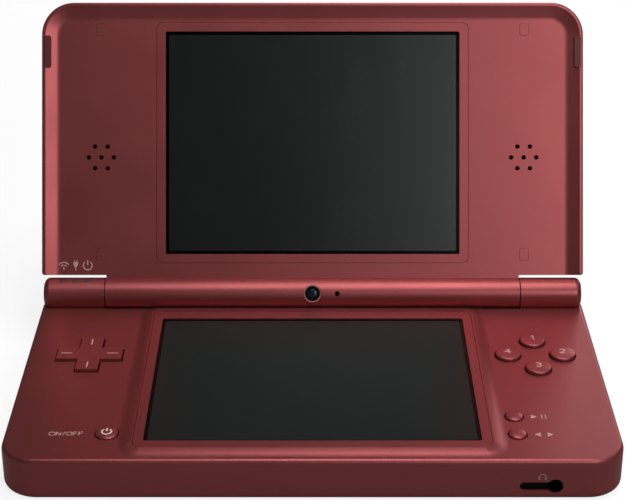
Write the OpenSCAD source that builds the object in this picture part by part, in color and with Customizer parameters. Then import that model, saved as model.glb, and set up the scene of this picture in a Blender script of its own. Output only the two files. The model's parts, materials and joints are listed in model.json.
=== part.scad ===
// Clamshell handheld game console, lid open.
// Origin: middle of the underside. +X right, +Y to the hinge, +Z up. Millimetres.
// Lid pieces are drawn closed over the base and then turned open about the hinge axis.

/* [Case] */
// Width of the base on each side of the window
side_margin = 36.75; // [36:0.05:42]
// Depth of the base in front of the window
front_margin = 8.1; // [7.9:0.05:10]
// Thickness with the lid closed
case_t = 21.2; // [20.8:0.1:23]
// Plan radius of the front corners
corner_r = 9.6; // [7:0.1:12]
// Plan radius of the rear corners of the base
rear_corner_r = 6; // [4.5:0.1:7]
// Wall of the case shells
wall = 1.6; // [1.3:0.05:1.8]
// Height of the seam between the two base shells
seam_z = 2.2; // [2:0.05:2.4]
// Radius of the edge round the underside
bottom_edge_r = 2; // [1:0.1:2]
// Width of the round along the top edge of the base
top_edge_w = 1.1; // [0.6:0.05:1.5]
// Height of the round along the top edge of the base
top_edge_h = 1.5; // [0.8:0.05:2]

/* [Base face] */
// Height of the face that carries the buttons
face_z = 12; // [11.9:0.05:12.1]
// Rise of the screen plateau over the face
plateau_h = 1; // [0.6:0.05:1.1]
// Flat margin of the plateau at the sides and front of the window
plateau_margin = 3.2; // [3:0.05:3.6]
// Width of the slope down the sides of the plateau
plateau_slope = 3.8; // [3:0.05:3.8]
// Thickness of the face plate
face_t = 1.3; // [1.1:0.05:1.4]

/* [Screens] */
// Width of each screen window
window_w = 87.5; // [84:0.1:90]
// Height of each screen window
window_h = 66.3; // [64:0.1:67]
// Width of the bezel frame at the sides and front
bezel_w = 2.6; // [2:0.05:3]
// Thickness of the bezel frame
bezel_t = 0.5; // [0.4:0.05:0.6]
// Thickness of the window plate
window_t = 0.8; // [0.6:0.05:0.8]
// Thickness of each display module
display_t = 2.8; // [2:0.05:2.8]
// Distance of the lower window from the hinge axis
lower_window_gap = 12.3; // [12:0.05:12.6]
// Distance of the upper window from the hinge axis
upper_window_gap = 11.7; // [11:0.05:12.2]

/* [Hinge] */
// Height of the hinge axis
hinge_z = 14.8; // [14.7:0.05:15]
// Radius of the barrel and the knuckles
barrel_r = 4.7; // [4.5:0.05:4.8]
// Length of each knuckle
knuckle_len = 18.1; // [17:0.1:19]
// Gap between the barrel and each knuckle
barrel_gap = 0.3; // [0.25:0.05:0.8]
// Radius of the bore through the barrel and the knuckles
hinge_bore_r = 2.85; // [2.6:0.05:3]
// Radius of the hinge shaft
shaft_r = 1.6; // [1.2:0.05:1.8]
// Opening angle of the lid as drawn
lid_open = 116; // [90:1:155]

/* [Lid] */
// Height of the rim of the closed lid over the base face
rim_gap = 0.4; // [0.3:0.05:0.5]
// Depth of the dish inside the rim
dish_h = 1.2; // [1.1:0.05:1.3]
// Width of the crest of the rim
crest_w = 1.15; // [0.8:0.05:1.5]
// Width of the slope inside the crest
dish_slope = 4.4; // [3.5:0.1:4.6]
// Radius of the edge round the outer face
lid_edge_r = 2.8; // [1.5:0.1:3.2]
// Distance of the free edge behind the front wall of the base
lid_inset = 0.2; // [0:0.05:0.6]
// Distance of the rear edge of the lid sides from the hinge axis
lid_rear_gap = 5.46; // [5.3:0.02:5.6]
// Height of the inner shell wall
inner_wall_h = 3; // [2.8:0.1:3.2]

/* [Buttons] */
// Span of the D-pad
dpad_span = 18.2; // [16:0.1:19]
// Width of a D-pad arm
dpad_arm = 6.2; // [5:0.1:7]
// Height of the D-pad over the face
dpad_h = 0.8; // [0.6:0.05:0.8]
// Tilt of the D-pad each way
dpad_tilt = 3; // [2:0.1:3]
// Place of both clusters between the window and the side, as a share
cluster_share = 0.5184; // [0.51:0.002:0.53]
// Distance of both clusters behind the hinge axis
cluster_gap = 32.6; // [31.5:0.1:33]
// Radius of an action button
action_r = 3.62; // [3.2:0.02:3.7]
// Distance of the action buttons from the middle of the cluster
action_pitch = 7.7; // [7.6:0.05:8]
// Height of the action buttons over the face
action_h = 1.2; // [0.9:0.05:1.2]
// Radius of the start and select buttons
small_r = 2.4; // [2:0.05:2.5]
// Radius of the power button
power_r = 3.0; // [2.5:0.05:3.1]
// Height of the small buttons over the face
small_h = 0.7; // [0.5:0.05:0.8]
// Travel of each button
button_travel = 0.6; // [0.4:0.05:0.6]
// Gap round each button
button_gap = 0.28; // [0.12:0.01:0.3]
// Gap round the D-pad
dpad_gap = 0.45; // [0.25:0.01:0.5]

/* [Sockets and edges] */
// Radius of the headphone jack bore
jack_r = 1.8; // [1.77:0.01:1.85]
// Depth of the headphone jack bore
jack_len = 12; // [11:0.5:13]
// Distance of the headphone jack from the right side
jack_inset = 18.4; // [17.5:0.1:19]
// Height of the headphone jack axis
jack_z = 4.3; // [4.25:0.05:4.4]
// Width of the game card slot
game_slot_w = 33.6; // [33:0.1:34]
// Height of the game card slot
game_slot_h = 4.4; // [4.2:0.05:4.4]
// Width of the memory card slot
card_slot_w = 24.6; // [24.4:0.1:25]
// Radius of the stylus
stylus_r = 2.45; // [2.2:0.05:2.5]
// Length of the stylus
stylus_len = 96; // [90:0.5:97]
// Width of a shoulder button
shoulder_w = 28; // [24:0.5:30]
// Length of the volume rocker
rocker_len = 18; // [14:0.5:20]

/* [Fits] */
// Gap between pieces that lie in one another
seat_gap = 0.12; // [0.08:0.01:0.15]
// Gap between moving pieces and the case
move_gap = 0.25; // [0.22:0.01:0.3]
// Radial clearance of a shaft that turns in a hole
run_gap = 0.05; // [0.02:0.01:0.08]

/* [Hidden] */
$fn = 64;

case_w = window_w + 2 * side_margin;
case_d = front_margin + window_h + lower_window_gap + barrel_r;
half_w = case_w / 2;
front_y = -case_d / 2;
hinge_y = case_d / 2 - barrel_r;
back_y = hinge_y + barrel_r - 0.3;
plateau_end_y = hinge_y - 6.8;
face_end_y = plateau_end_y + 2.3;
ledge_z = hinge_z - barrel_r - 0.4;
plateau_z = face_z + plateau_h;
window_back_y = hinge_y - lower_window_gap;
window_front_y = window_back_y - window_h;
window_mid_y = window_back_y - window_h / 2;
plateau_r = 2.6;
// share of the slope's width and of the plateau's height, from its foot up
plateau_steps = [[0, 0], [0.24, 0.12], [0.5, 0.36], [1, 1]];
rear_bezel_w = 4.2;
bezel_ledge = 1.0;
display_border = 2.8;
floor_t = 1.6;
under_face_z = face_z - face_t;
under_plateau_z = plateau_z - bezel_t - window_t;
trough_r = barrel_r + 0.3;
knuckle_out = half_w - 0.7;
knuckle_in = knuckle_out - knuckle_len;
knuckle_cap = 1.6;
knuckle_round = 1.8;
barrel_len = 2 * (knuckle_in - barrel_gap);
barrel_bore_len = 18;
bush_len = 6;
cluster_x = window_w / 2 + cluster_share * side_margin;
cluster_y = hinge_y - cluster_gap;

crest_z = face_z + rim_gap;
lid_floor_z = crest_z + dish_h;
lid_seam_z = crest_z + inner_wall_h;
// share of the dish's slope and of its depth, from the crest inwards
dish_steps = [[0, 0.92], [0.68, 0.13], [0.85, 0.035], [1, 0]];
lid_front_y = front_y + lid_inset;
lid_rear_y = hinge_y - lid_rear_gap;
lid_plate_t = 1.3;
upper_window_back_y = hinge_y - upper_window_gap;
upper_window_mid_y = upper_window_back_y - window_h / 2;
lid_skin = 1.4;

board_z = 7.9;
board_t = 0.8;
board_top_z = board_z + board_t;
board_gap = 1;
membrane_t = 0.25;
membrane_margin = 1.9;
membrane_r = 2;
membrane_top_z = board_top_z + membrane_t;
game_slot_z = 5;
game_depth = 34;
game_wall = 1.2;
game_mouth_y = back_y - wall;
game_front_y = game_mouth_y - game_depth;
jack_x = half_w - jack_inset;
jack_end_y = front_y + wall + jack_len;
jack_body_w = 6;
jack_slot_l = 9.1;
jack_slot_h = 2.4;
card_slot_h = 2.6;
card_socket_wall = 0.8;
card_socket_w = card_slot_w + 2 * card_socket_wall;
card_z = 5.7;
card_depth = 31;
card_socket_x = half_w - wall;
guide_wall = 0.4;
guide_r = stylus_r + move_gap;
guide_d = 2 * (guide_r + guide_wall);
// The room in depth that the sockets leave is shared out between them.
side_room = game_front_y - jack_end_y - card_socket_w - guide_d;
card_y = jack_end_y + 0.19 * side_room + card_socket_w / 2;
stylus_y = game_front_y - 0.326 * side_room - guide_d / 2;
stylus_z = (floor_t + board_z) / 2;

battery_w = window_w - 23.5;
battery_t = 5.6;
battery_front_y = front_y + 6.7;
battery_back_y = stylus_y - guide_d / 2 - 4.5;
battery_l = battery_back_y - battery_front_y;
battery_y = (battery_front_y + battery_back_y) / 2;
cover_margin = 3;
cover_w = battery_w + 2 * cover_margin;
cover_l = battery_l + 2 * cover_margin;
cover_t = 0.9;
cover_corner_r = 3;
cover_screw_r = 0.7;
cover_screw_l = 1.7;
cover_ledge = 1.6;

chip_x = battery_w / 2 + 12;
chip_w = 12;
chip_t = 1;
rear_parts_y = stylus_y + 18.4;
shield_w = 20;
shield_d = 14;
shield_h = 2.4;
shield_wall = 0.3;
wireless_w = 18;
wireless_d = 14;
wireless_t = 0.8;
wireless_foot = 1.8;
door_t = 1.1;
door_w = card_socket_w;
door_h = 4.2;
door_z = 3.5;
rocker_w = 3.4;
rocker_y = hinge_y - 47;
rocker_z = 6.2;
rocker_proud = 0.6;
rocker_t = 2.2;
power_x = -window_w / 2 - 9.85;
power_y = window_front_y + 4.8;
start_x = window_w / 2 + 9.65;
start_y = window_front_y + 13.2;
select_y = window_front_y + 4.4;
flange_z = membrane_top_z + button_travel + 0.05;
flange_t = under_face_z - flange_z - 0.2;
flange_w = 0.7;
dpad_flange_r = dpad_span / 2 + 0.1;
dpad_flange_z = membrane_top_z + dpad_flange_r * sin(dpad_tilt) + 0.22;
dpad_flange_t = 0.3;
dpad_line_w = 0.4;
pivot_r = 2.5;
pivot_t = 0.25;
shoulder_z = 3;
shoulder_top_z = ledge_z - 0.6;
shoulder_in_x = half_w - shoulder_w;
shoulder_front_y = back_y - 5.8;
shoulder_skin = 2.6;
shoulder_boss = 4;
shoulder_wall = 0.8;
shoulder_pin_x = half_w - 5;
shoulder_pin_y = back_y - 4;
shoulder_pin_r = 0.75;
switch_w = 5;
switch_h = 3.5;
charger_x = 40.5 - half_w;
charger_len = 9;
charger_w = 8;
charger_h = 3;
charger_z = 5.2;
speaker_x = half_w - 17.6;
speaker_r = 7.6;
speaker_lip = 1;
speaker_lip_t = 0.5;
speaker_t = 2.5;
speaker_y = hinge_y - 40.5;
speaker_pitch = 3.73;
speaker_hole_r = 0.68;
cover_pad_x = half_w - 17.5;
cover_pad_w = 2.6;
cover_pad_l = 3.6;
cover_pad_t = 0.45;
bumper_len = 9.6;
bumper_w = 2;
bumper_r = 0.8;
bumper_t = 1.5;
bumper_x = half_w - bumper_w / 2 - 0.8;
bumper_y = lid_front_y + 9.8 + bumper_len / 2;
mic_x = 7.3;
mic_r = 0.75;
inner_ring_r = 2.6;
inner_lens_r = 1.4;
outer_cam_x = half_w - 14.5;
outer_cam_y = lid_front_y + 13;
outer_ring_r = 4.2;
outer_lens_r = 3.1;
light_x = half_w - 24.5;
light_r = 0.9;
status_angle = 9;
status_xs = [for (inset = [6.4, 10.2, 13.6]) inset - half_w];
status_w = 2;
status_d = 1.7;
foot_r = 3.2;
foot_t = 0.8;
foot_spots = [for (s = [-1, 1], y = [front_y + 9.2, back_y - 17.4]) [s * (half_w - 9.5), y]];
boss_r = 2.4;
screw_r = 1;
screw_head_r = 1.9;
screw_head_t = 0.7;
cover_ear_r = 1.9;
cover_ear_x = cover_w / 2 + 4;
lid_screw_y = [lid_front_y + 7.9, lid_rear_y - 6.14];
lid_corner_r = 0.8;
cut = 1;

action_spots = [
  [0, action_pitch], [-action_pitch, 0], [action_pitch, 0], [0, -action_pitch]
];

// ---- helpers ----

// Turns a disc with the edge profile [inset, z] about its own axis.
module pad(r, profile)
  rotate_extrude($fn = 56)
    polygon(concat(
      [[0, profile[0][1]]],
      [for (p = profile) [r - p[0], p[1]]],
      [[0, profile[len(profile) - 1][1]]]));

// Rounded slab with the edge profile all round.
module slab(hw, y0, y1, r_front, r_back, profile)
  hull() for (s = [-1, 1]) {
    translate([s * (hw - r_front), y0 + r_front, 0]) pad(r_front, profile);
    translate([s * (hw - r_back), y1 - r_back, 0]) pad(r_back, profile);
  }

// Rounded rectangle with true arcs.
module plan(hw, y0, y1, r_front, r_back) {
  for (s = [-1, 1]) {
    translate([s * (hw - r_front), y0 + r_front]) circle(r_front);
    translate([s * (hw - r_back), y1 - r_back]) circle(r_back);
  }
  translate([-hw, y0 + r_front]) square([2 * hw, y1 - y0 - r_front - r_back]);
  translate([-hw + r_front, y0]) square([2 * (hw - r_front), r_front + cut]);
  translate([-hw + r_back, y1 - r_back - cut]) square([2 * (hw - r_back), r_back + cut]);
}

// Rounded plate around a middle point.
module plate(w, d, r, z0, z1)
  translate([0, 0, z0]) linear_extrude(z1 - z0) plan(w / 2, -d / 2, d / 2, r, r);

module box(x0, x1, y0, y1, z0, z1)
  translate([x0, y0, z0]) cube([x1 - x0, y1 - y0, z1 - z0]);

module disc(r, z0, z1) translate([0, 0, z0]) cylinder(r = r, h = z1 - z0);

// Cylinder along X about the hinge axis.
module hinge_rod(x0, x1, r)
  translate([x0, hinge_y, hinge_z]) rotate([0, 90, 0]) cylinder(r = r, h = x1 - x0);

// Places pieces of the closed lid at the drawn opening.
module on_lid()
  translate([0, hinge_y, hinge_z]) rotate([-lid_open, 0, 0])
    translate([0, -hinge_y, -hinge_z]) children();

module cross(span, arm, z0, z1) {
  box(-span / 2, span / 2, -arm / 2, arm / 2, z0, z1);
  box(-arm / 2, arm / 2, -span / 2, span / 2, z0, z1);
}

module at_dpad() translate([-cluster_x, cluster_y, 0]) children();
module at_action(i)
  translate([cluster_x + action_spots[i][0], cluster_y + action_spots[i][1], 0]) children();
module at_start() translate([start_x, start_y, 0]) children();
module at_select() translate([start_x, select_y, 0]) children();
module at_power() translate([power_x, power_y, 0]) children();

// Plan of the base at an inset from its outline.
module base_plan(inset)
  plan(half_w - inset, front_y + inset, back_y - inset,
       corner_r - inset, rear_corner_r - inset);

// Knuckle on the hinge axis with a rounded outer end.
module knuckle(side)
  translate([0, hinge_y, hinge_z]) rotate([0, side * 90, 0])
    translate([0, 0, knuckle_in])
      rotate_extrude() polygon(concat(
        [[0, 0], [barrel_r, 0]],
        [for (a = [0:15:90])
          [barrel_r - knuckle_round * (1 - cos(a)), knuckle_len - knuckle_round * (1 - sin(a))]],
        [[0, knuckle_len]]));

// ---- base shells ----

module base_lower_shell() color("#5a2429") difference() {
  union() {
    difference() {
      slab(half_w, front_y, back_y, corner_r, rear_corner_r,
           [for (a = [0:18:90])
             [bottom_edge_r * (1 - sin(a)), bottom_edge_r * (1 - cos(a))]]);
      translate([0, 0, floor_t]) linear_extrude(seam_z) base_plan(wall);
    }
    slab_rim();
    for (p = foot_spots) translate([p[0], p[1], 0]) disc(boss_r, floor_t - 0.2, board_z);
  }
  translate([0, battery_y, 0]) {
    plate(cover_w, cover_l, cover_corner_r, -cut, cover_t);
    plate(cover_w - 2 * cover_ledge, cover_l - 2 * cover_ledge, 2, -cut, floor_t + cut);
    cover_ears(seat_gap, -cut);
    for (s = [-1, 1]) translate([s * cover_ear_x, 0, 0]) disc(0.8, 0, floor_t + cut);
  }
  for (p = foot_spots) translate([p[0], p[1], 0]) {
    disc(foot_r, -cut, foot_t);
    disc(screw_head_r + 0.15, 0, foot_t + screw_head_t + 0.1);
    disc(screw_r + 0.1, 0, board_z + cut);
  }
}

// Screw ears at both ends of the battery cover.
module cover_ears(gap, z0)
  for (s = [-1, 1]) {
    translate([s * cover_ear_x, 0, 0]) disc(cover_ear_r + gap, z0, cover_t);
    translate([s * (cover_ear_x - 2.1), 0, 0])
      box(-2.1, 2.1, -1.2 - gap, 1.2 + gap, z0, cover_t);
  }

// Wall between the bottom edge round and the seam.
module slab_rim()
  translate([0, 0, bottom_edge_r - 0.05]) linear_extrude(seam_z - bottom_edge_r + 0.05)
    difference() { base_plan(0); base_plan(wall); }

module base_upper_shell() color("#7d3a3f") difference() {
  union() {
    slab(half_w, front_y, back_y, corner_r, rear_corner_r,
         concat([[0, seam_z]],
           [for (a = [0:15:90])
             [top_edge_w * (1 - cos(a)), face_z - top_edge_h * (1 - sin(a))]]));
    slab_plateau();
    for (s = [-1, 1]) knuckle(s);
  }
  // room inside
  translate([0, 0, -cut]) linear_extrude(ledge_z - 1.2 + cut) base_plan(wall);
  translate([0, 0, seam_z]) linear_extrude(under_face_z - seam_z)
    plan(half_w - wall, front_y + wall, face_end_y - wall, corner_r - wall, 2);
  translate([0, window_mid_y, 0])
    plate(window_w + 2 * display_border + 2 * seat_gap,
          window_h + 2 * display_border + 2 * seat_gap, 1, under_face_z - cut, under_plateau_z);
  // behind the face, between the knuckles
  box(-knuckle_in, knuckle_in, face_end_y, back_y + cut, ledge_z, case_t);
  hinge_rod(-knuckle_in, knuckle_in, trough_r);
  for (s = [-1, 1])
    hinge_rod(s > 0 ? knuckle_in - cut : -knuckle_out + knuckle_cap,
              s > 0 ? knuckle_out - knuckle_cap : -knuckle_in + cut, hinge_bore_r);
  // screen opening
  translate([0, window_mid_y, 0]) {
    translate([0, (rear_bezel_w - bezel_w) / 2, 0])
      plate(window_w + 2 * bezel_w + 2 * seat_gap,
            window_h + bezel_w + rear_bezel_w + 2 * seat_gap, 2, plateau_z - bezel_t, plateau_z + cut);
    plate(window_w + 2 * bezel_ledge, window_h + 2 * bezel_ledge, 1,
          under_face_z, plateau_z + cut);
  }
  // buttons
  at_dpad() cross(dpad_span + 2 * dpad_gap, dpad_arm + 2 * dpad_gap, under_face_z - cut, face_z + cut);
  for (i = [0:3]) at_action(i) disc(action_r + button_gap, under_face_z - cut, face_z + cut);
  at_start() disc(small_r + button_gap, under_face_z - cut, face_z + cut);
  at_select() disc(small_r + button_gap, under_face_z - cut, face_z + cut);
  at_power() disc(power_r + button_gap, under_face_z - cut, face_z + cut);
  // front wall
  translate([jack_x, front_y - cut, jack_z]) rotate([-90, 0, 0])
    cylinder(r = jack_r + 0.25, h = wall + 2 * cut);
  jack_slot(0, front_y - cut, front_y + wall + cut);
  // rear wall
  box(-game_slot_w / 2, game_slot_w / 2, back_y - wall - cut, back_y + cut,
      game_slot_z - game_slot_h / 2, game_slot_z + game_slot_h / 2);
  box(charger_x - charger_w / 2, charger_x + charger_w / 2, back_y - wall - cut, back_y + cut,
      charger_z - charger_h / 2, charger_z + charger_h / 2);
  for (s = [-1, 1]) mirror([s < 0 ? 1 : 0, 0, 0])
    box(shoulder_in_x - move_gap, half_w + cut, shoulder_front_y - 0.5, back_y + cut,
        shoulder_z - 0.2, shoulder_top_z + 0.2);
  for (s = [-1, 1]) translate([s * shoulder_pin_x, shoulder_pin_y, 0])
    disc(shoulder_pin_r, seam_z, ledge_z - 0.2);
  // right side
  translate([half_w - wall - cut, stylus_y, stylus_z]) rotate([0, 90, 0])
    cylinder(r = guide_r, h = wall + 2 * cut);
  box(half_w - wall - cut, half_w + cut, card_y - card_slot_w / 2, card_y + card_slot_w / 2,
      card_z - card_slot_h / 2, card_z + card_slot_h / 2);
  box(half_w - door_t - 0.1, half_w + cut, card_y - door_w / 2 - move_gap,
      card_y + door_w / 2 + move_gap, door_z - 0.2, door_z + door_h + 0.35);
  // left side
  box(-half_w - cut, -half_w + wall + cut, rocker_y - rocker_len / 2 - move_gap,
      rocker_y + rocker_len / 2 + move_gap, rocker_z - rocker_w / 2 - move_gap,
      rocker_z + rocker_w / 2 + move_gap);
  status_blocks(0.05);
}

// Screen plateau in layers, so that its sides sweep out into the face.
module slab_plateau()
  for (i = [1:len(plateau_steps) - 1])
    hull() for (s = [-1, 1],
                y = [window_front_y - plateau_margin + plateau_r, plateau_end_y - plateau_r])
      translate([s * (window_w / 2 + plateau_margin - plateau_r), y, 0])
        pad(plateau_r + plateau_slope, plateau_layer(plateau_steps[i - 1], plateau_steps[i]));

function plateau_layer(low, high) = [
  [low[0] * plateau_slope, face_z - 0.6],
  [low[0] * plateau_slope, face_z + low[1] * plateau_h],
  [high[0] * plateau_slope, face_z + high[1] * plateau_h]
];

module status_blocks(gap)
  for (x = status_xs)
    translate([x, hinge_y, hinge_z]) rotate([status_angle, 0, 0])
      translate([0, 0, hinge_bore_r + 0.4])
        plate(status_w + 2 * gap, status_d + 2 * gap, 0.4, 0, barrel_r - hinge_bore_r + cut);

// ---- underside ----

module battery_cover() color("#5a2429") translate([0, battery_y, 0]) difference() {
  union() {
    plate(cover_w - 2 * seat_gap, cover_l - 2 * seat_gap, cover_corner_r - seat_gap, 0, cover_t);
    cover_ears(0, 0);
  }
  for (s = [-1, 1]) translate([s * cover_ear_x, 0, 0]) disc(0.95, -cut, floor_t);
}

module battery_cover_screws() color("#8d8f92")
  for (s = [-1, 1]) translate([s * cover_ear_x, battery_y, 0]) {
    difference() {
      disc(cover_screw_r + 0.15, 0.1, cover_t);
      cross(1.5 * cover_screw_r, 0.4 * cover_screw_r, 0, 0.45);
    }
    disc(cover_screw_r, cover_t, cover_t + cover_screw_l);
  }

module battery() color("#3a3c40")
  translate([0, battery_y, 0]) plate(battery_w, battery_l, 1.5, cover_t, cover_t + battery_t);

module rubber_feet() color("#3b2a2c")
  for (p = foot_spots) translate([p[0], p[1], 0]) disc(foot_r - seat_gap, 0, foot_t);

module base_screws() color("#8d8f92")
  for (p = foot_spots) translate([p[0], p[1], 0]) {
    disc(screw_head_r, foot_t, foot_t + screw_head_t);
    disc(screw_r, foot_t + screw_head_t, board_z + 0.3);
  }

// ---- lower screen ----

module lower_screen_bezel() color("#7d3a3f")
  translate([0, window_mid_y, 0]) difference() {
    translate([0, (rear_bezel_w - bezel_w) / 2, 0])
      plate(window_w + 2 * bezel_w, window_h + bezel_w + rear_bezel_w, 1.9,
            plateau_z - bezel_t, plateau_z);
    plate(window_w, window_h, 0.4, plateau_z - bezel_t - cut, plateau_z + cut);
  }

module touch_panel() color("#2b2d2f")
  translate([0, window_mid_y, 0])
    plate(window_w + 2 * bezel_ledge - 2 * seat_gap, window_h + 2 * bezel_ledge - 2 * seat_gap,
          0.9, plateau_z - bezel_t - window_t, plateau_z - bezel_t);

module lower_display() color("#1b1c1e")
  translate([0, window_mid_y, 0])
    plate(window_w + 2 * display_border, window_h + 2 * display_border, 0.9,
          under_plateau_z - display_t, under_plateau_z);

// ---- inside the base ----

module main_board() color("#1f5b3a") difference() {
  translate([0, 0, board_z]) linear_extrude(board_t)
    plan(half_w - wall - 1.5, front_y + wall + board_gap, face_end_y - wall - board_gap, 7, 2);
  for (p = foot_spots) translate([p[0], p[1], 0])
    disc(screw_r + 0.2, board_z - cut, board_top_z + cut);
}

module board_chips() color("#26282b") {
  translate([-chip_x, battery_y + 9.5, 0]) chip(chip_w, chip_w);
  translate([-chip_x, stylus_y + 4.4, 0]) chip(0.75 * chip_w, 0.9 * chip_w);
  translate([chip_x + 2, stylus_y + 13.4, 0]) chip(0.67 * chip_w, 0.67 * chip_w);
}

// Chip on the underside of the board.
module chip(w, d) plate(w, d, 0.5, board_z - chip_t, board_z);

module board_shield() color("#a9abad")
  translate([23.5 - half_w, rear_parts_y, 0]) difference() {
    plate(shield_w, shield_d, 1, board_z - shield_h, board_z);
    plate(shield_w - 2 * shield_wall, shield_d - 2 * shield_wall, 0.8,
          board_z - shield_h + shield_wall, board_z + cut);
  }

module wireless_module() color("#2c6b4a")
  translate([game_slot_w / 2 + 15.2, rear_parts_y, 0]) {
    plate(wireless_w, wireless_d, 1, board_z - wireless_foot - wireless_t, board_z - wireless_foot);
    plate(0.67 * wireless_w, 0.64 * wireless_d, 0.8, board_z - wireless_foot, board_z);
  }

module game_card_socket() color("#2a2a2c") difference() {
  box(-game_slot_w / 2 - game_wall, game_slot_w / 2 + game_wall, game_front_y, game_mouth_y,
      game_slot_z - game_slot_h / 2 - game_wall / 2, board_z);
  box(-game_slot_w / 2, game_slot_w / 2, game_front_y + 2, game_mouth_y + cut,
      game_slot_z - game_slot_h / 2, game_slot_z + game_slot_h / 2);
}

module memory_card_socket() color("#b4b6b8") difference() {
  box(card_socket_x - card_depth - 1.5, card_socket_x, card_y - card_socket_w / 2,
      card_y + card_socket_w / 2, card_z - card_slot_h / 2 - 0.5, board_z);
  box(card_socket_x - card_depth, card_socket_x + cut, card_y - card_slot_w / 2,
      card_y + card_slot_w / 2, card_z - card_slot_h / 2, card_z + card_slot_h / 2);
}

// Rounded slot beside the headphone jack.
module jack_slot(gap, y0, y1)
  translate([jack_x - jack_slot_l + jack_slot_h / 2, y0, jack_z]) rotate([-90, 0, 0]) {
    cylinder(r = jack_slot_h / 2 - gap, h = y1 - y0);
    translate([0, -jack_slot_h / 2 + gap, 0])
      cube([jack_slot_l - jack_slot_h / 2, jack_slot_h - 2 * gap, y1 - y0]);
  }

module headphone_jack() color("#151516") difference() {
  union() {
    box(jack_x - jack_body_w / 2, jack_x + jack_body_w / 2, front_y + wall, jack_end_y,
        jack_z - 2.6, board_z);
    translate([jack_x, front_y + 0.3, jack_z]) rotate([-90, 0, 0])
      cylinder(r = jack_r + 0.2, h = wall);
    jack_slot(0.05, front_y + 0.5, front_y + wall + 0.6);
  }
  translate([jack_x, front_y - cut, jack_z]) rotate([-90, 0, 0])
    cylinder(r = jack_r, h = jack_len + 0.3 + cut);
}

module charging_socket() color("#2a2a2c") difference() {
  box(charger_x - charger_w / 2 - 0.8, charger_x + charger_w / 2 + 0.8,
      back_y - wall - charger_len, back_y - wall, charger_z - charger_h / 2 - 0.6, board_z);
  box(charger_x - charger_w / 2 + 0.3, charger_x + charger_w / 2 - 0.3,
      back_y - wall - charger_len + 1.5, back_y,
      charger_z - charger_h / 2 + 0.3, charger_z + charger_h / 2 - 0.3);
}

module stylus_guide() color("#4a2226")
  translate([half_w - wall, stylus_y, stylus_z]) rotate([0, -90, 0]) difference() {
    cylinder(r = guide_r + guide_wall, h = stylus_len);
    translate([0, 0, -cut]) cylinder(r = guide_r, h = stylus_len + cut - 1);
  }

// Rubber sheet on the board that reaches past the buttons over it.
module membrane(w, d) color("#8a8d90")
  plate(w + 2 * membrane_margin, d + 2 * membrane_margin, membrane_r, board_top_z, membrane_top_z);

module dpad_membrane() at_dpad() membrane(dpad_span, dpad_span);

module action_membrane() translate([cluster_x, cluster_y, 0])
  membrane(2 * action_pitch + action_r, 2 * action_pitch + action_r);

module small_button_membranes() {
  translate([start_x, (start_y + select_y) / 2, 0])
    membrane(2 * small_r, start_y - select_y + 2 * small_r);
  at_power() membrane(2 * power_r, 2 * power_r);
}

module status_lights() color("#9aa594") intersection() {
  status_blocks(0);
  hinge_rod(-knuckle_out, -knuckle_in, barrel_r);
}

// ---- hinge ----

module hinge_unit() color("#b9bbbd") difference() {
  hinge_rod(knuckle_in, knuckle_out - knuckle_cap, hinge_bore_r);
  hinge_rod(knuckle_in - cut, knuckle_in + knuckle_len / 2 + 0.2, shaft_r + run_gap);
}

module hinge_bush() color("#c9cbc4") difference() {
  union() {
    hinge_rod(-knuckle_out + knuckle_cap, -knuckle_in, hinge_bore_r);
    hinge_rod(-knuckle_in - cut, -barrel_len / 2 + bush_len, hinge_bore_r - run_gap);
  }
  hinge_rod(-knuckle_out, -barrel_len / 2 + bush_len + cut, shaft_r);
}

module hinge_shaft() color("#b9bbbd") on_lid() {
  hinge_rod(barrel_len / 2 - barrel_bore_len, barrel_len / 2, hinge_bore_r);
  hinge_rod(barrel_len / 2 - 0.1, knuckle_in + knuckle_len / 2 - 0.1, shaft_r);
}

module flex_cable() color("#b07a3a") on_lid() {
  hinge_rod(-knuckle_out + 3, -barrel_len / 2 + bush_len + 1, shaft_r - 0.4);
  hinge_rod(-barrel_len / 2 + bush_len + 1, -barrel_len / 2 + bush_len + 3, hinge_bore_r);
}

// ---- shoulder buttons, volume ----

module shoulder_pins() color("#b9bbbd")
  for (s = [-1, 1]) translate([s * shoulder_pin_x, shoulder_pin_y, 0])
    disc(shoulder_pin_r, seam_z, ledge_z - 0.2);

module shoulder_body() color("#5a2429") difference() {
  intersection() {
    translate([0, 0, shoulder_z]) linear_extrude(shoulder_top_z - shoulder_z) base_plan(0);
    box(shoulder_in_x, half_w + cut, shoulder_front_y, back_y + cut, 0, case_t);
  }
  box(shoulder_in_x - cut, shoulder_pin_x - shoulder_boss, shoulder_front_y - cut, back_y - shoulder_skin,
      shoulder_z + shoulder_wall, shoulder_top_z - shoulder_wall);
  box(shoulder_in_x - cut, shoulder_pin_x - 2 * shoulder_boss, shoulder_front_y - cut,
      back_y - shoulder_skin - 1.5, 0, case_t);
  translate([shoulder_pin_x, shoulder_pin_y, 0]) disc(shoulder_pin_r + run_gap, 0, case_t);
}

module right_shoulder_button() shoulder_body();
module left_shoulder_button() mirror([1, 0, 0]) shoulder_body();

module shoulder_switches() color("#26282b")
  for (s = [-1, 1])
    translate([s * (shoulder_in_x + shoulder_boss), 0, 0])
      box(-switch_w / 2, switch_w / 2, shoulder_front_y - 2.2, shoulder_front_y + 0.3,
          board_z - switch_h, board_z);

module volume_switch() color("#26282b")
  box(-half_w + wall + 1.4, -half_w + wall + 4, rocker_y - rocker_len / 6,
      rocker_y + rocker_len / 6, board_z - 0.85 * switch_h, board_z);

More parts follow.
